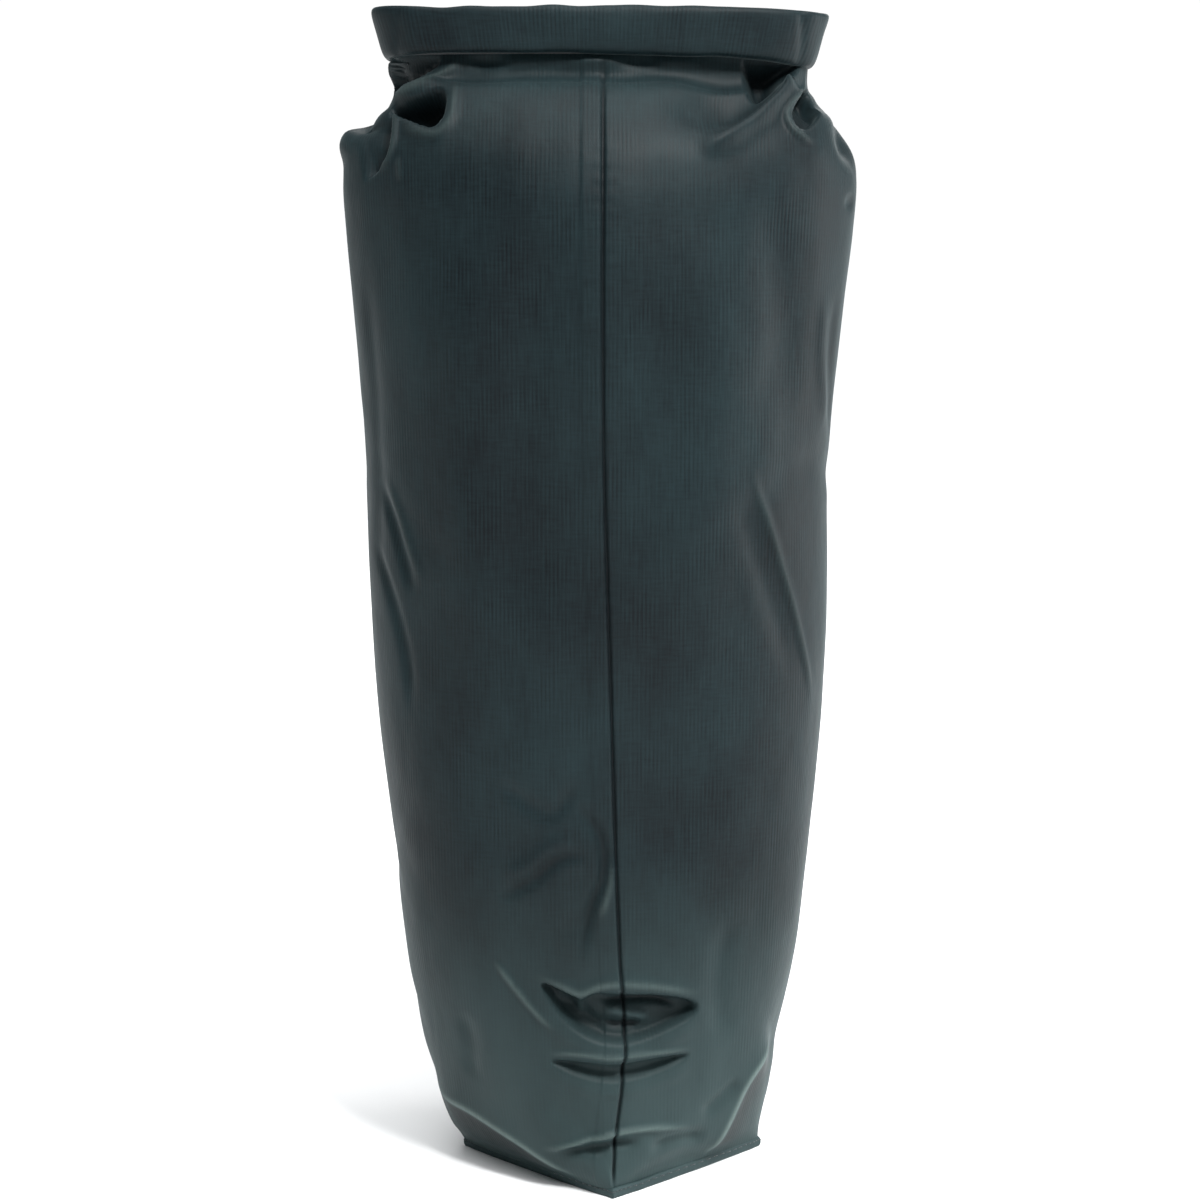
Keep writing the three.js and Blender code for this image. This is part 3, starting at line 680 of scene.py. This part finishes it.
BACK_FOLDS = [
    # pulled down and out from the collar's two ends
    ([(-46, 470), (-58, 450), (-72, 424), (-80, 395)], 4.5, -3.4),
    ([(-38, 466), (-46, 446), (-52, 420)], 3.0, 2.2),
    ([(50, 470), (60, 452), (70, 430), (76, 398)], 4.5, -3.2),
    ([(41, 465), (47, 446), (50, 424)], 3.0, 2.2),
    ([(-20, 460), (-14, 444), (-16, 424)], 3.6, -2.2),
    ([(17, 459), (13, 440), (20, 414)], 3.6, -2.4),
    ([(2, 458), (0, 440), (4, 418)], 3.0, 1.8),
    ("dimple", (0, 440), (34, 14), -3.0),
    # long soft folds, and the buckled foot
    ([(-30, 400), (-22, 330), (-28, 250)], 12.0, -1.6),
    ([(44, 390), (36, 300), (42, 215)], 12.0, -1.4),
    ([(-70, 300), (-58, 240), (-60, 180)], 5.0, -1.2),
    ([(-28, 84), (-8, 76), (14, 79), (30, 88)], 2.8, -4.0),
    ([(-26, 90), (-6, 83), (14, 86), (28, 93)], 2.0, 1.5),
    ([(-18, 52), (4, 47), (26, 53)], 2.6, -2.8),
    ([(-16, 57), (4, 52.5), (24, 58)], 1.4, 1.2),
    ([(58, 32), (42, 23), (24, 15), (9, 6)], 1.0, 1.2),
    ([(-60, 30), (-46, 22), (-28, 12)], 1.0, 1.2),
]


class Sheet:
    """A shell's points with the distance round and the height of each, for placing folds."""

    def __init__(self, points):
        self.points = points
        self.outward = outward_ways(points)
        step = np.linalg.norm(np.roll(points, -1, 1) - points, axis=-1)
        run = np.concatenate([np.zeros((len(points), 1)), np.cumsum(step, 1)[:, :-1]], 1)
        self.round = run - run[:, points.shape[1] // 2, None]  # the middle column is the front's
        self.whole = step.sum(1)
        self.height = np.maximum.accumulate(points[..., 2].mean(1))
        self.wall = np.argmax(points[..., 2].mean(1))

    def place(self, x, height, back=False):
        """Distance round, and height, of the point at an x on the front or the back."""
        row = min(int(np.searchsorted(self.height, height)), self.wall)
        ring, along = self.points[row], self.round[row]
        side = (ring[:, 1] > 0) if back else (ring[:, 1] <= 0)
        if back:
            along = np.where(along < 0, along + self.whole[row], along)
        order = np.argsort(ring[side][:, 0])
        return np.array([np.interp(x, ring[side][order, 0], along[side][order]), height])

    def coordinates(self, back=False):
        along = self.round
        if back:
            along = np.where(along < 0, along + self.whole[:, None], along)
        heights = self.points[..., 2].copy()
        heights[self.wall + 1 :] = 1000  # the hollow takes no folds
        return along, heights


def line_distance(along, heights, places):
    """Each point's distance to a line through places, the side it is on, and the share of the way along."""
    places = np.array(places)
    lengths = gaps(places)
    starts = running(lengths)
    best, side, share = np.full(along.shape, 1e9), np.zeros(along.shape), np.zeros(along.shape)
    for k, (a, b) in enumerate(zip(places[:-1], places[1:])):
        direction = (b - a) / lengths[k]
        dx, dz = along - a[0], heights - a[1]
        t = np.clip(dx * direction[0] + dz * direction[1], 0, lengths[k])
        away = np.hypot(dx - t * direction[0], dz - t * direction[1])
        nearer = away < best
        best = np.where(nearer, away, best)
        side = np.where(nearer, np.sign(direction[0] * dz - direction[1] * dx), side)
        share = np.where(nearer, (starts[k] + t) / starts[-1], share)
    return best, side, share


def smooth_line(places, steps=8):
    """A smooth line through a few places."""
    places = np.array(places, float)
    knots = running(gaps(places))
    return hermite(knots, places, np.linspace(0, knots[-1], steps * (len(places) - 1) + 1))


def rounded_loop(places):
    """A closed line through places with its corners cut off three times."""
    for _ in range(3):
        after = np.roll(places, -1, 0)
        places = np.stack([0.75 * np.array(places) + 0.25 * after, 0.25 * np.array(places) + 0.75 * after], 1)
        places = places.reshape(-1, 2)
    return np.concatenate([places, places[:1]])


def pocket(along, heights, edge, width):
    """From 0 outside a closed line to 1 inside it, with a bank as wide as width."""
    away, _, _ = line_distance(along, heights, edge)
    inside = np.zeros(along.shape, bool)
    for (a, b), (c, d) in zip(edge[:-1], edge[1:]):
        if b != d:
            crosses = (heights > min(b, d)) & (heights <= max(b, d))
            inside ^= crosses & (along < a + (heights - b) * (c - a) / (d - b))
    return smoothstep(np.where(inside, away, -away), -0.35 * width, width)


# Narrow ridges wear pale along their middle; narrow valleys get painted shade there
NARROW = 3  # lines narrower than this wear pale, or shade, along their middle
# Painted shade inside a pocket, by its depth, and on a step's dropped side
POCKET_SHADE = -0.06
STEP_SHADE = -0.7


def fold_shape(sheet, along, heights, fold, back):
    """How far one fold moves each point outwards, and its colour mark: pale along ridges where positive,
    painted shade where negative.
    """
    *kind, where, width, rise = fold
    if kind == ["dimple"]:
        middle = sheet.place(*where, back)
        away = np.hypot((along - middle[0]) / width[0], (heights - middle[1]) / width[1])
        return rise * np.exp(-(away**2.6)), 0
    places = [sheet.place(x, z, back) for x, z in where]
    if kind == ["pocket"]:
        inside = pocket(along, heights, rounded_loop(places), width)
        return inside * rise, POCKET_SHADE * min(abs(rise), 8) * inside
    away, side, share = line_distance(along, heights, smooth_line(places))
    taper = smoothstep(np.sin(math.pi * share), 0, 0.75)
    if kind == ["crest"]:
        # Pale along the crest's top, and painted shade on the facet to its right
        shade = smoothstep(-away * side, 0.3, 3.0) * bell(away / (1.8 * width))
        return rise * taper * np.exp(-away / width), (0.95 * bell(away / 1.4) - 1.05 * shade) * taper
    if kind == ["step"]:
        edge = smoothstep(away * side, -0.2, 1.6) * taper
        beyond = np.maximum(away * side, 0)
        return rise * edge * np.exp(-beyond / width), STEP_SHADE * edge * np.exp(-beyond / 5)
    sharp = taper * bell(away / min(0.7 * width, 1.4)) if width < NARROW else 0
    return rise * taper * bell(away / width), sharp * min(max(0.24 * rise, -0.5), 0.9)


UNEVENNESS = (1.7, 62, 3), (0.8, 27, 4), (0.25, 11, 5)
FOLD_WAYS = (0.5, 1, 0.75)  # folds move the cloth less sideways and upwards than to the front


def creased(points):
    """The shell with its folds, its seam and the soft unevenness of stuffed cloth, and its colour marks: pale
    worn lines and painted shade.
    """
    sheet = Sheet(points)
    move = np.zeros(points.shape[:2])
    wear_and_painted_shade = np.zeros(points.shape[:2])
    for folds, back in ((FRONT_FOLDS, False), (BACK_FOLDS, True)):
        along, heights = sheet.coordinates(back)
        for fold in folds:
            # Each fold's second value: pale worn lines where positive, painted shade where negative
            rise, worn = fold_shape(sheet, along, heights, fold, back)
            move += rise
            wear_and_painted_shade += worn
    stretched = points * (1, 1, 0.45)
    move += lumps(stretched, *UNEVENNESS)
    level = points[..., 2].mean(1)
    wear_and_painted_shade *= np.where(wear_and_painted_shade > 0, 1 - 0.75 * smoothstep(level, 110, 180)[:, None], 1)
    relief, dark = seam_relief(sheet)
    move += relief
    wear_and_painted_shade += dark
    held = smoothstep(level, 2, 12) * (1 - smoothstep(level, 477.5, 480.5))
    held[sheet.wall :] = 0
    ways = unit(sheet.outward * FOLD_WAYS)
    moved = points + ways * (move * held[:, None])[..., None]
    moved[: sheet.wall] = clear_of_hollow(moved[: sheet.wall])
    return moved, np.clip(wear_and_painted_shade, -1, 1) * held[:, None]


HOLLOW_MARGIN = 1.4


def clear_of_hollow(points):
    """Keeps creases from poking through the shell's own cloth inside the collar."""
    rings = np.array(HOLLOW[::-1])
    a, b, n = (np.interp(points[..., 2], rings[:, 0], rings[:, k]) for k in (1, 2, 3))
    inside = np.maximum(1 - (np.abs(points[..., 0]) / (a + HOLLOW_MARGIN)) ** n, 0)
    least = (b + HOLLOW_MARGIN) * inside ** (1 / n)
    y = points[..., 1]
    return np.stack([points[..., 0], np.sign(y) * np.maximum(np.abs(y), least), points[..., 2]], -1)


SEAM_ALLOWANCE = 9.5  # the folded cloth under the wall, on the left of the seam
STITCH_PITCH = 6.5


def seam_relief(sheet):
    """The long seam: a sharp valley, its folded allowance raised beside it, a pucker at each stitch, and
    painted shade along the valley.
    """
    along, heights = sheet.coordinates()
    places = smooth_line([sheet.place(x, z) for x, z in SEAM])
    away, side, _ = line_distance(along, heights, places)
    beside = away * np.where(side > 0, -1, 1)  # the line runs down, so its left is the viewer's right
    end = smoothstep(beside, SEAM_ALLOWANCE - 1.6, SEAM_ALLOWANCE)
    raised = 0.45 * smoothstep(beside, 0.2, 1.0) * (1 - end)
    pucker = 0.1 * np.sin(heights * TURN / STITCH_PITCH) * bell(away / 5)
    wander = 0.12 * noise(sheet.points, 14, 8) * bell(away / 9)
    # The second value is painted shade along the seam's valley
    return raised - 1.7 * bell(away / 0.75) + pucker + wander, -0.9 * bell(away / 0.8)


# ---- the bag ----
SHELL_COLUMNS = 480
FOOT_TOP, NECK_FROM = 105, 395  # places up the shell between which its rings are further apart


def shell_rows():
    """Places up the shell for its rings, closer at the foot and in the neck, where the creases are fine."""
    steps = np.linspace(0, RING_AT[-1], 2000)
    spacing = np.select([steps < FOOT_TOP, steps < NECK_FROM], [1.0, 2.1], 1.25)
    count = running(np.diff(steps) / spacing[1:])
    return np.interp(np.linspace(0, count[-1], int(count[-1])), count, steps)


def shell():
    """The finished shell: a fine grid of points, closest together round the seam, its pale worn lines and
    painted shade, and its UV.
    """
    moved = settled_cloth()
    turns = full_turn(SHELL_COLUMNS, -math.pi)
    angles = turns - 0.6 * np.sin(turns) - math.pi / 2
    places = shell_rows()
    columns_at = (angles % TURN) / TURN * SETTLE_COLUMNS
    rows_at = np.clip(places / COLLAR_AT, 0, 1) * (SETTLE_ROWS - 1)
    plain = shell_points(angles, places)
    points = plain + resampled(moved, columns_at, rows_at)
    front = smoothstep(-np.sin(angles), -0.75, -0.3)
    points[..., 2] += FRONT_RISE * front * smoothstep(plain[..., 2], *FRONT_RISE_OVER)
    return *creased(points), cloth_uv(plain)


def cloth_uv(points):
    """Distance round and up each point of the plain shell, so that the weave is at its real scale."""
    sheet = Sheet(points)
    return spread(sheet.round, running(gaps(points).mean(1))[:, None])


def make_bag():
    points, wear_and_painted_shade, uv = shell()
    obj = mesh_object("bag_cloth", points, grid_faces(*points.shape[:2]), uv)
    # A point attribute of pale worn lines and painted shade, which the nylon reads
    worn = obj.data.attributes.new("wear_and_painted_shade", "FLOAT", "POINT")
    worn.data.foreach_set("value", wear_and_painted_shade.ravel().astype(np.float32))
    # Painted light on the neck's upper slope, in the nylon's colour
    obj.data.materials.append(coated_nylon(lightened=0.15))
    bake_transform(obj)
    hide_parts("body_panel", "collar_neck")
    return points


# ---- pieces of a whole bag ----
def finished(obj, material, body, slot, *nodes):
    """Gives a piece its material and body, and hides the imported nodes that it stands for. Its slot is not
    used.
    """
    obj.data.materials.append(material)
    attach(obj, body)
    if nodes:
        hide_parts(*nodes)


BASE_HALF = (65.0, 61.6)
BASE_ROUNDNESS = 1.04
BASE_THICKNESS = 0.5
BASE_RINGS = 56


def make_base():
    """The square base: cloth with its thickness, on the floor, a little crowned and wrinkled."""
    shares = np.linspace(0.004, 1, BASE_RINGS)
    shares = np.concatenate([shares, np.linspace(1, 0.004, BASE_RINGS)])[:, None]
    x, y = superellipse(full_turn(288), *BASE_HALF, BASE_ROUNDNESS)
    flat = spread(shares * x + FOOT_SHIFT, shares * y, 0 * shares)
    lift = 0.25 + 0.9 * (1 - shares**4) * (0.55 + 0.45 * noise(flat, 19, 21) + 0.3 * noise(flat, 8, 22))
    flat[..., 2] = lift + np.repeat([0.0, BASE_THICKNESS], BASE_RINGS)[:, None]
    obj = mesh_object("base_cloth", flat, grid_faces(*flat.shape[:2]), flat[..., :2])
    finished(obj, coated_nylon("base_nylon"), "bag", "shell", "base_panel")


# The folded edge of cloth round the base, from its outside in: inwards, up.
WELT = [
    (0.35, 0.12), (0.05, 0.8), (-0.1, 1.7), (-0.1, 2.6), (0.0, 3.4), (0.3, 4.1), (0.9, 4.5),
    (1.5, 4.2), (1.9, 3.2), (2.1, 2.2), (2.1, 1.0), (1.8, 0.3), (1.2, 0.08), (0.7, 0.05),
]
WELT_HALF = (67.0, 63.6)
WELT_COLUMNS = 640
BASE_GIRTH = 368


def welt_ring(angles, inward, up):
    """The line round the base at one place of the welt's section, a little wavy."""
    c, s = np.cos(angles), np.sin(angles)
    wave = 0.34 * noise(spread(9 * c, 9 * s, 0), 1.3, 31)
    ripple = 0.2 * noise(spread(60 * c, 60 * s, 0), 5.0, 32)
    half = [h - math.sqrt(2) * (inward + ripple) for h in WELT_HALF]
    x, y = superellipse(angles, *half, BASE_ROUNDNESS)
    return np.stack([x + FOOT_SHIFT, y, up * (1 + 0.25 * wave + 0.2 * ripple)], -1)


def welt_rings(section, columns):
    """The points and faces of a closed section carried round the base."""
    rings = np.array([welt_ring(full_turn(columns), *place) for place in section])
    return rings, grid_faces(*rings.shape[:2], round_rows=True)


def make_welt():
    uv = spread(np.linspace(0, BASE_GIRTH, WELT_COLUMNS)[None, :], 0.9 * np.arange(len(WELT))[:, None])
    obj = mesh_object("base_welt", *welt_rings(WELT, WELT_COLUMNS), uv)
    navy = coated_nylon("welt_binding", (0.002, 0.0045, 0.009), (0.006, 0.011, 0.019))
    finished(obj, navy, "bag", "seam", "base_seam_welt")


def tube(places, radius, sides=6):
    """Points and faces of a thread along places, with its ends closed to a point."""
    places = np.array(places, float)
    along = unit(np.gradient(places, axis=0))
    across = unit(np.cross(along, (0.31, 0.87, 0.37)))
    third = np.cross(along, across)
    turn = full_turn(sides)[None, :, None]
    ends = np.ones((len(places), 1, 1))
    ends[[0, -1]] = 0.15
    spoke = across[:, None] * np.cos(turn) + third[:, None] * np.sin(turn)
    return (places[:, None] + radius * ends * spoke).reshape(-1, 3), grid_faces(len(places), sides)


def joined(parts):
    """Several point lists and their faces as one."""
    points, faces = zip(*parts)
    firsts = running([len(places) for places in points])
    return np.concatenate(points), np.concatenate([quads + first for quads, first in zip(faces, firsts)])


STITCHES = 118
STITCH_SHARES = np.array([0.12, 0.2, 0.5, 0.8, 0.88])
STITCH_DEPTHS = np.array([0.5, 0.1, 0, 0.1, 0.5])[:, None]


def make_welt_stitches():
    """One row of stitches along the welt, each a short thread that sinks in at both ends."""
    threads = []
    for k in range(STITCHES):
        line = welt_ring((k + STITCH_SHARES) / STITCHES * TURN, -0.12, 3.1)
        threads.append(tube(line - STITCH_DEPTHS * unit(line * (1, 1, 0)), 0.17, 5))
    obj = mesh_object("welt_stitches", *joined(threads))
    finished(obj, stitching_thread(), "bag", "thread")


TAPE_FROM, TAPE_TO = 14, 441
TAPE_HALF = 7.5
TAPE_BEHIND = 2.4
TAPE_THICKNESS = 0.4
BASE_TAPE = [(4.6, 1.4), (4.5, 6), (4.5, 12), (4.8, 12.1), (4.8, 6), (4.9, 1.4)]  # inwards, up


def make_tapes(points):
    """The welded tapes on the inside: along the long seam, and round the base seam."""
    sheet = Sheet(points)
    offsets = np.linspace(-TAPE_HALF, TAPE_HALF, 13)
    lines = []
    for r in range(sheet.wall):
        if TAPE_FROM < sheet.height[r] < TAPE_TO:
            seam_x = np.interp(-sheet.height[r], [-z for _, z in SEAM], [x for x, _ in SEAM])
            at = sheet.place(seam_x, sheet.height[r])[0] + offsets
            lines.append(np.stack([np.interp(at, sheet.round[r], points[r, :, k]) for k in range(3)], -1))
    front = np.array(lines) + (0, TAPE_BEHIND, 0)
    both = np.concatenate([front, (front + (0, TAPE_THICKNESS, 0))[:, ::-1]], 1)
    tape = welded_tape()
    finished(mesh_object("long_seam_tape", both, capped(both)), tape, "bag", "tape", "side_seam_tape")
    ring = mesh_object("base_tape", *welt_rings(BASE_TAPE, 320))
    finished(ring, tape, "bag", "tape", "base_seam_tape")


# ---- the wound collar and its webbing ----
COLLAR_MID = 488.4
C_HALF = (88.7, 30.0)
C_ROUNDNESS = 2.7
C_END = 0.4695  # how far past the widest point each end of the C goes, in radians
C_OVERRUN = 0.1  # how much further its line can be read, in radians
COLLAR_FLARE = 0.0029


def collar_line(distances):
    """Points of the collar's C, seen from above, at distances along it from its left end, which may run
    over, and how long the C is."""
    angles = np.linspace(math.pi - C_END - C_OVERRUN, TURN + C_END + C_OVERRUN, 4000)
    c, s = np.abs(np.cos(angles)) / C_HALF[0], np.abs(np.sin(angles)) / C_HALF[1]
    radius = (c**C_ROUNDNESS + s**C_ROUNDNESS) ** (-1 / C_ROUNDNESS)
    points = np.stack([radius * np.cos(angles), radius * np.sin(angles)], -1)
    run = running(gaps(points))
    run -= np.interp(math.pi - C_END, angles, run)
    at = np.stack([np.interp(distances, run, points[:, k]) for k in range(2)], -1)
    return at, np.interp(TURN + C_END, angles, run)


ROLL_TURNS = 3.2
ROLL_LAYER = 0.75  # two walls of cloth, pressed together
ROLL_PITCH = 1.0
ROLL_HALF = (5.75, 11.7)  # of the outermost turn: inwards, up
ROLL_STEPS = 190
ROLL_RAISED = 1.2  # how far its middle is above the buckle's
# How far the roll's lower edge is raised, at shares of the way along the C.
ROLL_ARCH = (
    (0, 0.12, 0.19, 0.26, 0.34, 0.5, 0.65, 0.73, 0.79, 0.84, 0.9, 1),
    (0, 0.4, 2.4, 3.6, 4.0, 3.2, 2.2, 0.6, -1.8, -1.8, -0.4, 0),
)
# Creases down the roll's front at its two bends: share of the way along, width, height.
ROLL_CREASES = [(0.225, 1.5, -0.8), (0.247, 2.2, 0.5), (0.765, 1.3, -1.1), (0.785, 2.4, 0.6)]


def roll_section():
    """The wound cloth's section, from its outer end at the bottom of the inner side, up and over to the
    front and round: the middle line, its outward direction, and the turn and the distance at each point."""
    turn = np.linspace(0, ROLL_TURNS, 9000)
    half = [h - ROLL_PITCH * turn for h in ROLL_HALF]
    w, v = superellipse(TURN * turn - 0.9, *half, 5.6 - 0.9 * turn)
    run = running(np.hypot(np.diff(w), np.diff(v)))
    outer = np.interp(1.05, turn, run)
    at = np.concatenate([np.linspace(0, outer, 150), np.linspace(outer, run[-1], 90)[1:]])
    line = np.stack([np.interp(at, run, w), np.interp(at, run, v)], -1)
    way = unit(np.gradient(line, axis=0))
    return line, np.stack([way[:, 1], -way[:, 0]], -1), np.interp(at, run, turn), at


def roll_unevenness(at, line, long):
    """How the wound band differs from a straight one: wavy edges, bulges, and creases at its bends."""
    along = np.broadcast_to(at, (len(at), len(line)))
    w, v = (np.broadcast_to(line[:, k] / ROLL_HALF[k], along.shape) for k in range(2))
    place = np.stack([along, 0 * along, 12 * v], -1)
    flat = place * (1, 1, 0)
    rise = lumps(flat, (1.1, 31, 41), (0.4, 11, 42))
    rise = rise - 1.0 * bell((along - 0.79 * long) / 22) + 0.3 * bell((along - 0.2 * long) / 22)
    edge = (0.35 * noise(flat, 17, 43) + np.interp(along / long, *ROLL_ARCH)) * np.clip(-v, 0, 1)
    bulge = lumps(place, (0.9, 36, 44), (0.45, 15, 45))
    front = smoothstep(-w, 0.2, 0.9)
    crease = 0
    for share, size, height in ROLL_CREASES:
        lean = 3.0 * v * (1 if share > 0.5 else -1)
        crease = crease + height * bell((along - share * long + lean) / size)
    crease = crease - 0.35 * front * bell((along - 0.44 * long) / 0.7)
    bend = bell((along / long - 0.22) / 0.07) + bell((along / long - 0.78) / 0.07)
    gather = 0.55 * bend * smoothstep(w, 0.1, 0.9) * np.sin(TURN * along / 8.5 + 2 * noise(place, 9, 46))
    return rise * np.clip(v, 0, 1) ** 2 + edge, gather - (bulge * (0.4 + 0.6 * front) + crease * front)


def swept(path, sections):
    """Sections of inward and up places carried along a path seen from above. The last axis is the place."""
    along = unit(np.gradient(path, axis=0))
    x = path[..., 0] - along[..., 1] * sections[..., 0]
    y = path[..., 1] + along[..., 0] * sections[..., 0]
    return np.stack([x, y, COLLAR_MID + sections[..., 1]], -1)


def capped(points):
    """Faces of a sweep whose section goes out on one side and back on the other, with both ends closed."""
    rows, columns = points.shape[:2]
    k = np.arange(columns // 2 - 1)
    cap = np.stack([k, k + 1, columns - 2 - k, columns - 1 - k], -1)
    return np.concatenate([grid_faces(rows, columns), cap, (cap + (rows - 1) * columns)[:, ::-1]])


def make_roll():
    line, outward, turn, at = roll_section()
    section = np.concatenate([line + outward * ROLL_LAYER / 2, (line - outward * ROLL_LAYER / 2)[::-1]])
    turn, at = np.concatenate([turn, turn[::-1]]), np.concatenate([at, at[::-1]])
    _, long = collar_line(0)
    share = np.linspace(0, 1, ROLL_STEPS)[:, None]
    early = 0.9 * np.sin(5.1 * turn + 0.4) + 0.7 * turn
    late = 1.1 * np.sin(4.3 * turn + 2.2) + 0.5 * turn
    distances = share * (long - late - early)[None] + early[None]
    path, _ = collar_line(distances)
    rise, bulge = roll_unevenness(distances[:, :1], section, long)
    sections = np.broadcast_to(section, path.shape).copy()
    sections[..., 1] += rise + ROLL_RAISED
    sections[..., 0] += bulge
    points = swept(path, sections)
    points[..., 0] *= 1 + COLLAR_FLARE * (points[..., 2] - COLLAR_MID)
    obj = mesh_object("roll_cloth", points, capped(points), spread(distances, at[None]))
    finished(obj, coated_nylon("roll_nylon"), "roll", "shell", "rolled_collar")


BUCKLE_Y = 29.3
WEBBING_SECTION = [(0.62, -6.6), (0.72, -6.0), (0.6, -5.2), (0.58, 0), (0.6, 5.2), (0.72, 6.0), (0.62, 6.6)]
BAR_RADIUS = 2.55


def webbing_hairpin(route, bar_x):
    """A hairpin of webbing: along one side of a route, round a buckle's bar, and back along the other side.
    Returns its points, section after section, and their UV."""
    route = np.array(route, float)
    away = 1 if bar_x > route[0, 0] else -1
    along = unit(np.gradient(route, axis=0))
    aside = 0.8 * np.stack([-along[:, 1], along[:, 0]], -1)
    k = np.array([-1, -0.6, -0.2, 0.2, 0.6, 1]) * math.pi / 2
    bend = np.stack([bar_x + away * BAR_RADIUS * np.cos(k), BUCKLE_Y - away * BAR_RADIUS * np.sin(k)], -1)
    path = smooth_line(np.concatenate([route + aside, bend, (route - aside)[::-1]]), 7)
    outline = np.array(WEBBING_SECTION + [(-w, v) for w, v in WEBBING_SECTION[::-1]])
    run = running(gaps(path))
    sections = np.broadcast_to(outline, (len(path), *outline.shape)).copy()
    sections[..., 1] += 0.25 * noise(spread(run, 0, 0), 9, 51)[:, None]
    points = swept(path[:, None].repeat(len(outline), 1), sections)
    return points, spread(run[:, None], outline[None, :, 1])


def webbing_piece(name, points, uv, *lengths):
    """One object from the lengths of a hairpin, given as slices of its sections."""
    parts = [(points[length].reshape(-1, 3), capped(points[length])) for length in lengths]
    uv = np.concatenate([uv[length].reshape(-1, 2) for length in lengths])
    return mesh_object(name, *joined(parts), uv)


LOOP_TO = 10.6  # where the sewn loop round the plug's bar ends and the strap that gathers begins


def make_webbing():
    material = webbing_weave()
    _, long = collar_line(0)
    left = collar_line(np.array([16, 8, 0.0]))[0].tolist() + [[-42, 28.2]]
    socket = webbing_piece("socket_strap", *webbing_hairpin(left, -34.6), slice(None))
    finished(socket, material, "roll", "webbing", "socket_webbing")
    sagging = [[44, 29.6], [36, 31.4], [27, 32.2], [17, 31.2], [9.5, 29.4]]
    right = collar_line(np.array([long - 16, long - 8, long]))[0].tolist() + sagging
    points, uv = webbing_hairpin(right, 1.2)
    middles = points[..., 0].mean(1)
    sewn = np.flatnonzero(middles < LOOP_TO)
    first, last = sewn[0], sewn[-1]
    loop = webbing_piece("plug_loop", points, uv, slice(first, last + 1))
    finished(loop, material, "plug", "webbing")
    strap = webbing_piece("plug_strap", points, uv, slice(0, first + 1), slice(last, None))
    finished(strap, material, "roll", "webbing", "plug_webbing")
    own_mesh(strap)


TACK_HALF = 0.85
THREAD_RADIUS = 0.19


def make_bar_tack(name, x, outside, body, node):
    """A dense zigzag of thread across the webbing and two straight threads, which hold its loop closed."""
    zigzag = []
    for k, height in enumerate(np.linspace(-5.4, 5.4, 27)):
        edge = TACK_HALF if k % 2 else -TACK_HALF
        zigzag += [(x + edge, outside - 0.15, height), (x + edge * 0.8, outside + 0.28, height + 0.1)]
    threads = [tube(np.array(zigzag) + (0, 0, COLLAR_MID), THREAD_RADIUS)]
    for edge in (-0.45, 0.45):
        heights = np.linspace(-5.6, 5.6, 15)
        run = [(x + edge, outside + 0.12 + 0.06 * (k % 2), z) for k, z in enumerate(heights)]
        threads.append(tube(np.array(run) + (0, 0, COLLAR_MID), THREAD_RADIUS + 0.02))
    finished(mesh_object(name, *joined(threads)), stitching_thread(), body, "thread", node)


EDGE_ROUNDING = dict(
    width=0.00042, segments=3, limit_method="ANGLE", angle_limit=math.radians(32), harden_normals=True
)
RIB_RADIUS = 0.0005


def moulded_part(name, node, body, material, ribs=()):
    """A moulded buckle part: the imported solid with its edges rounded, and raised grip ribs."""
    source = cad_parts[node]
    shape = bmesh.new()
    shape.from_mesh(source.data)
    shape.transform(source.matrix_world)
    bmesh.ops.remove_doubles(shape, verts=shape.verts, dist=2e-6)
    bmesh.ops.dissolve_limit(shape, angle_limit=math.radians(2), verts=shape.verts, edges=shape.edges)
    mesh = bpy.data.meshes.new(name)
    shape.to_mesh(mesh)
    shape.free()
    sharp = placed(name, mesh)
    configure(sharp.modifiers.new("bevel", "BEVEL"), **EDGE_ROUNDING)
    rounded = bpy.data.meshes.new_from_object(sharp.evaluated_get(bpy.context.evaluated_depsgraph_get()))
    grips = bmesh.new()
    grips.from_mesh(rounded)
    for x, y, length in ribs:
        made = bmesh.ops.create_cone(
            grips, cap_ends=True, segments=12, radius1=RIB_RADIUS, radius2=RIB_RADIUS, depth=length * MM
        )
        bmesh.ops.translate(grips, verts=made["verts"], vec=(x * MM, (BUCKLE_Y + y) * MM, COLLAR_MID * MM))
    grips.to_mesh(rounded)
    grips.free()
    bpy.data.objects.remove(sharp, do_unlink=True)
    finished(placed(name, smoothed(rounded)), material, body, "buckle", node)


GRIP_HALF = 3.75  # how far the grip ribs stand from the buckle's middle, on both its faces


def make_buckle():
    plastic = moulded_plastic("buckle_plastic")
    faces = (-GRIP_HALF, GRIP_HALF)
    socket_grip = [(x, y, 13) for x in (-24, -21, -18) for y in faces]
    moulded_part("socket_moulding", "buckle_socket", "roll", plastic, socket_grip)
    moulded_part("plug_moulding", "buckle_plug", "plug", plastic, [(-7.4, y, 12) for y in faces])
    for side in ("upper", "lower"):
        moulded_part(f"{side}_arm", f"plug_prong_{side}", f"prong_{side}", plastic)


def finish_stiffeners():
    """The strips that hold the mouth's edge flat stay as packed, deep inside the roll."""
    plastic = moulded_plastic("stiffener_plastic", (0.05, 0.052, 0.055), (0.08, 0.083, 0.087))
    for name in ("mouth_stiffener_inner", "mouth_stiffener_outer"):
        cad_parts[name].data.materials.clear()
        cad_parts[name].data.materials.append(plastic)


make_camera()
make_lamps()
make_world()
bpy.context.scene.view_settings.view_transform = "Standard"
make_floor()
make_tapes(make_bag())
make_base()
make_welt()
make_welt_stitches()
make_roll()
make_webbing()
make_bar_tack("socket_tack", -41.6, 30.3, "roll", "socket_bar_tack")
make_bar_tack("plug_tack", 8.0, 31.3, "plug", "plug_bar_tack")
make_buckle()
finish_stiffeners()
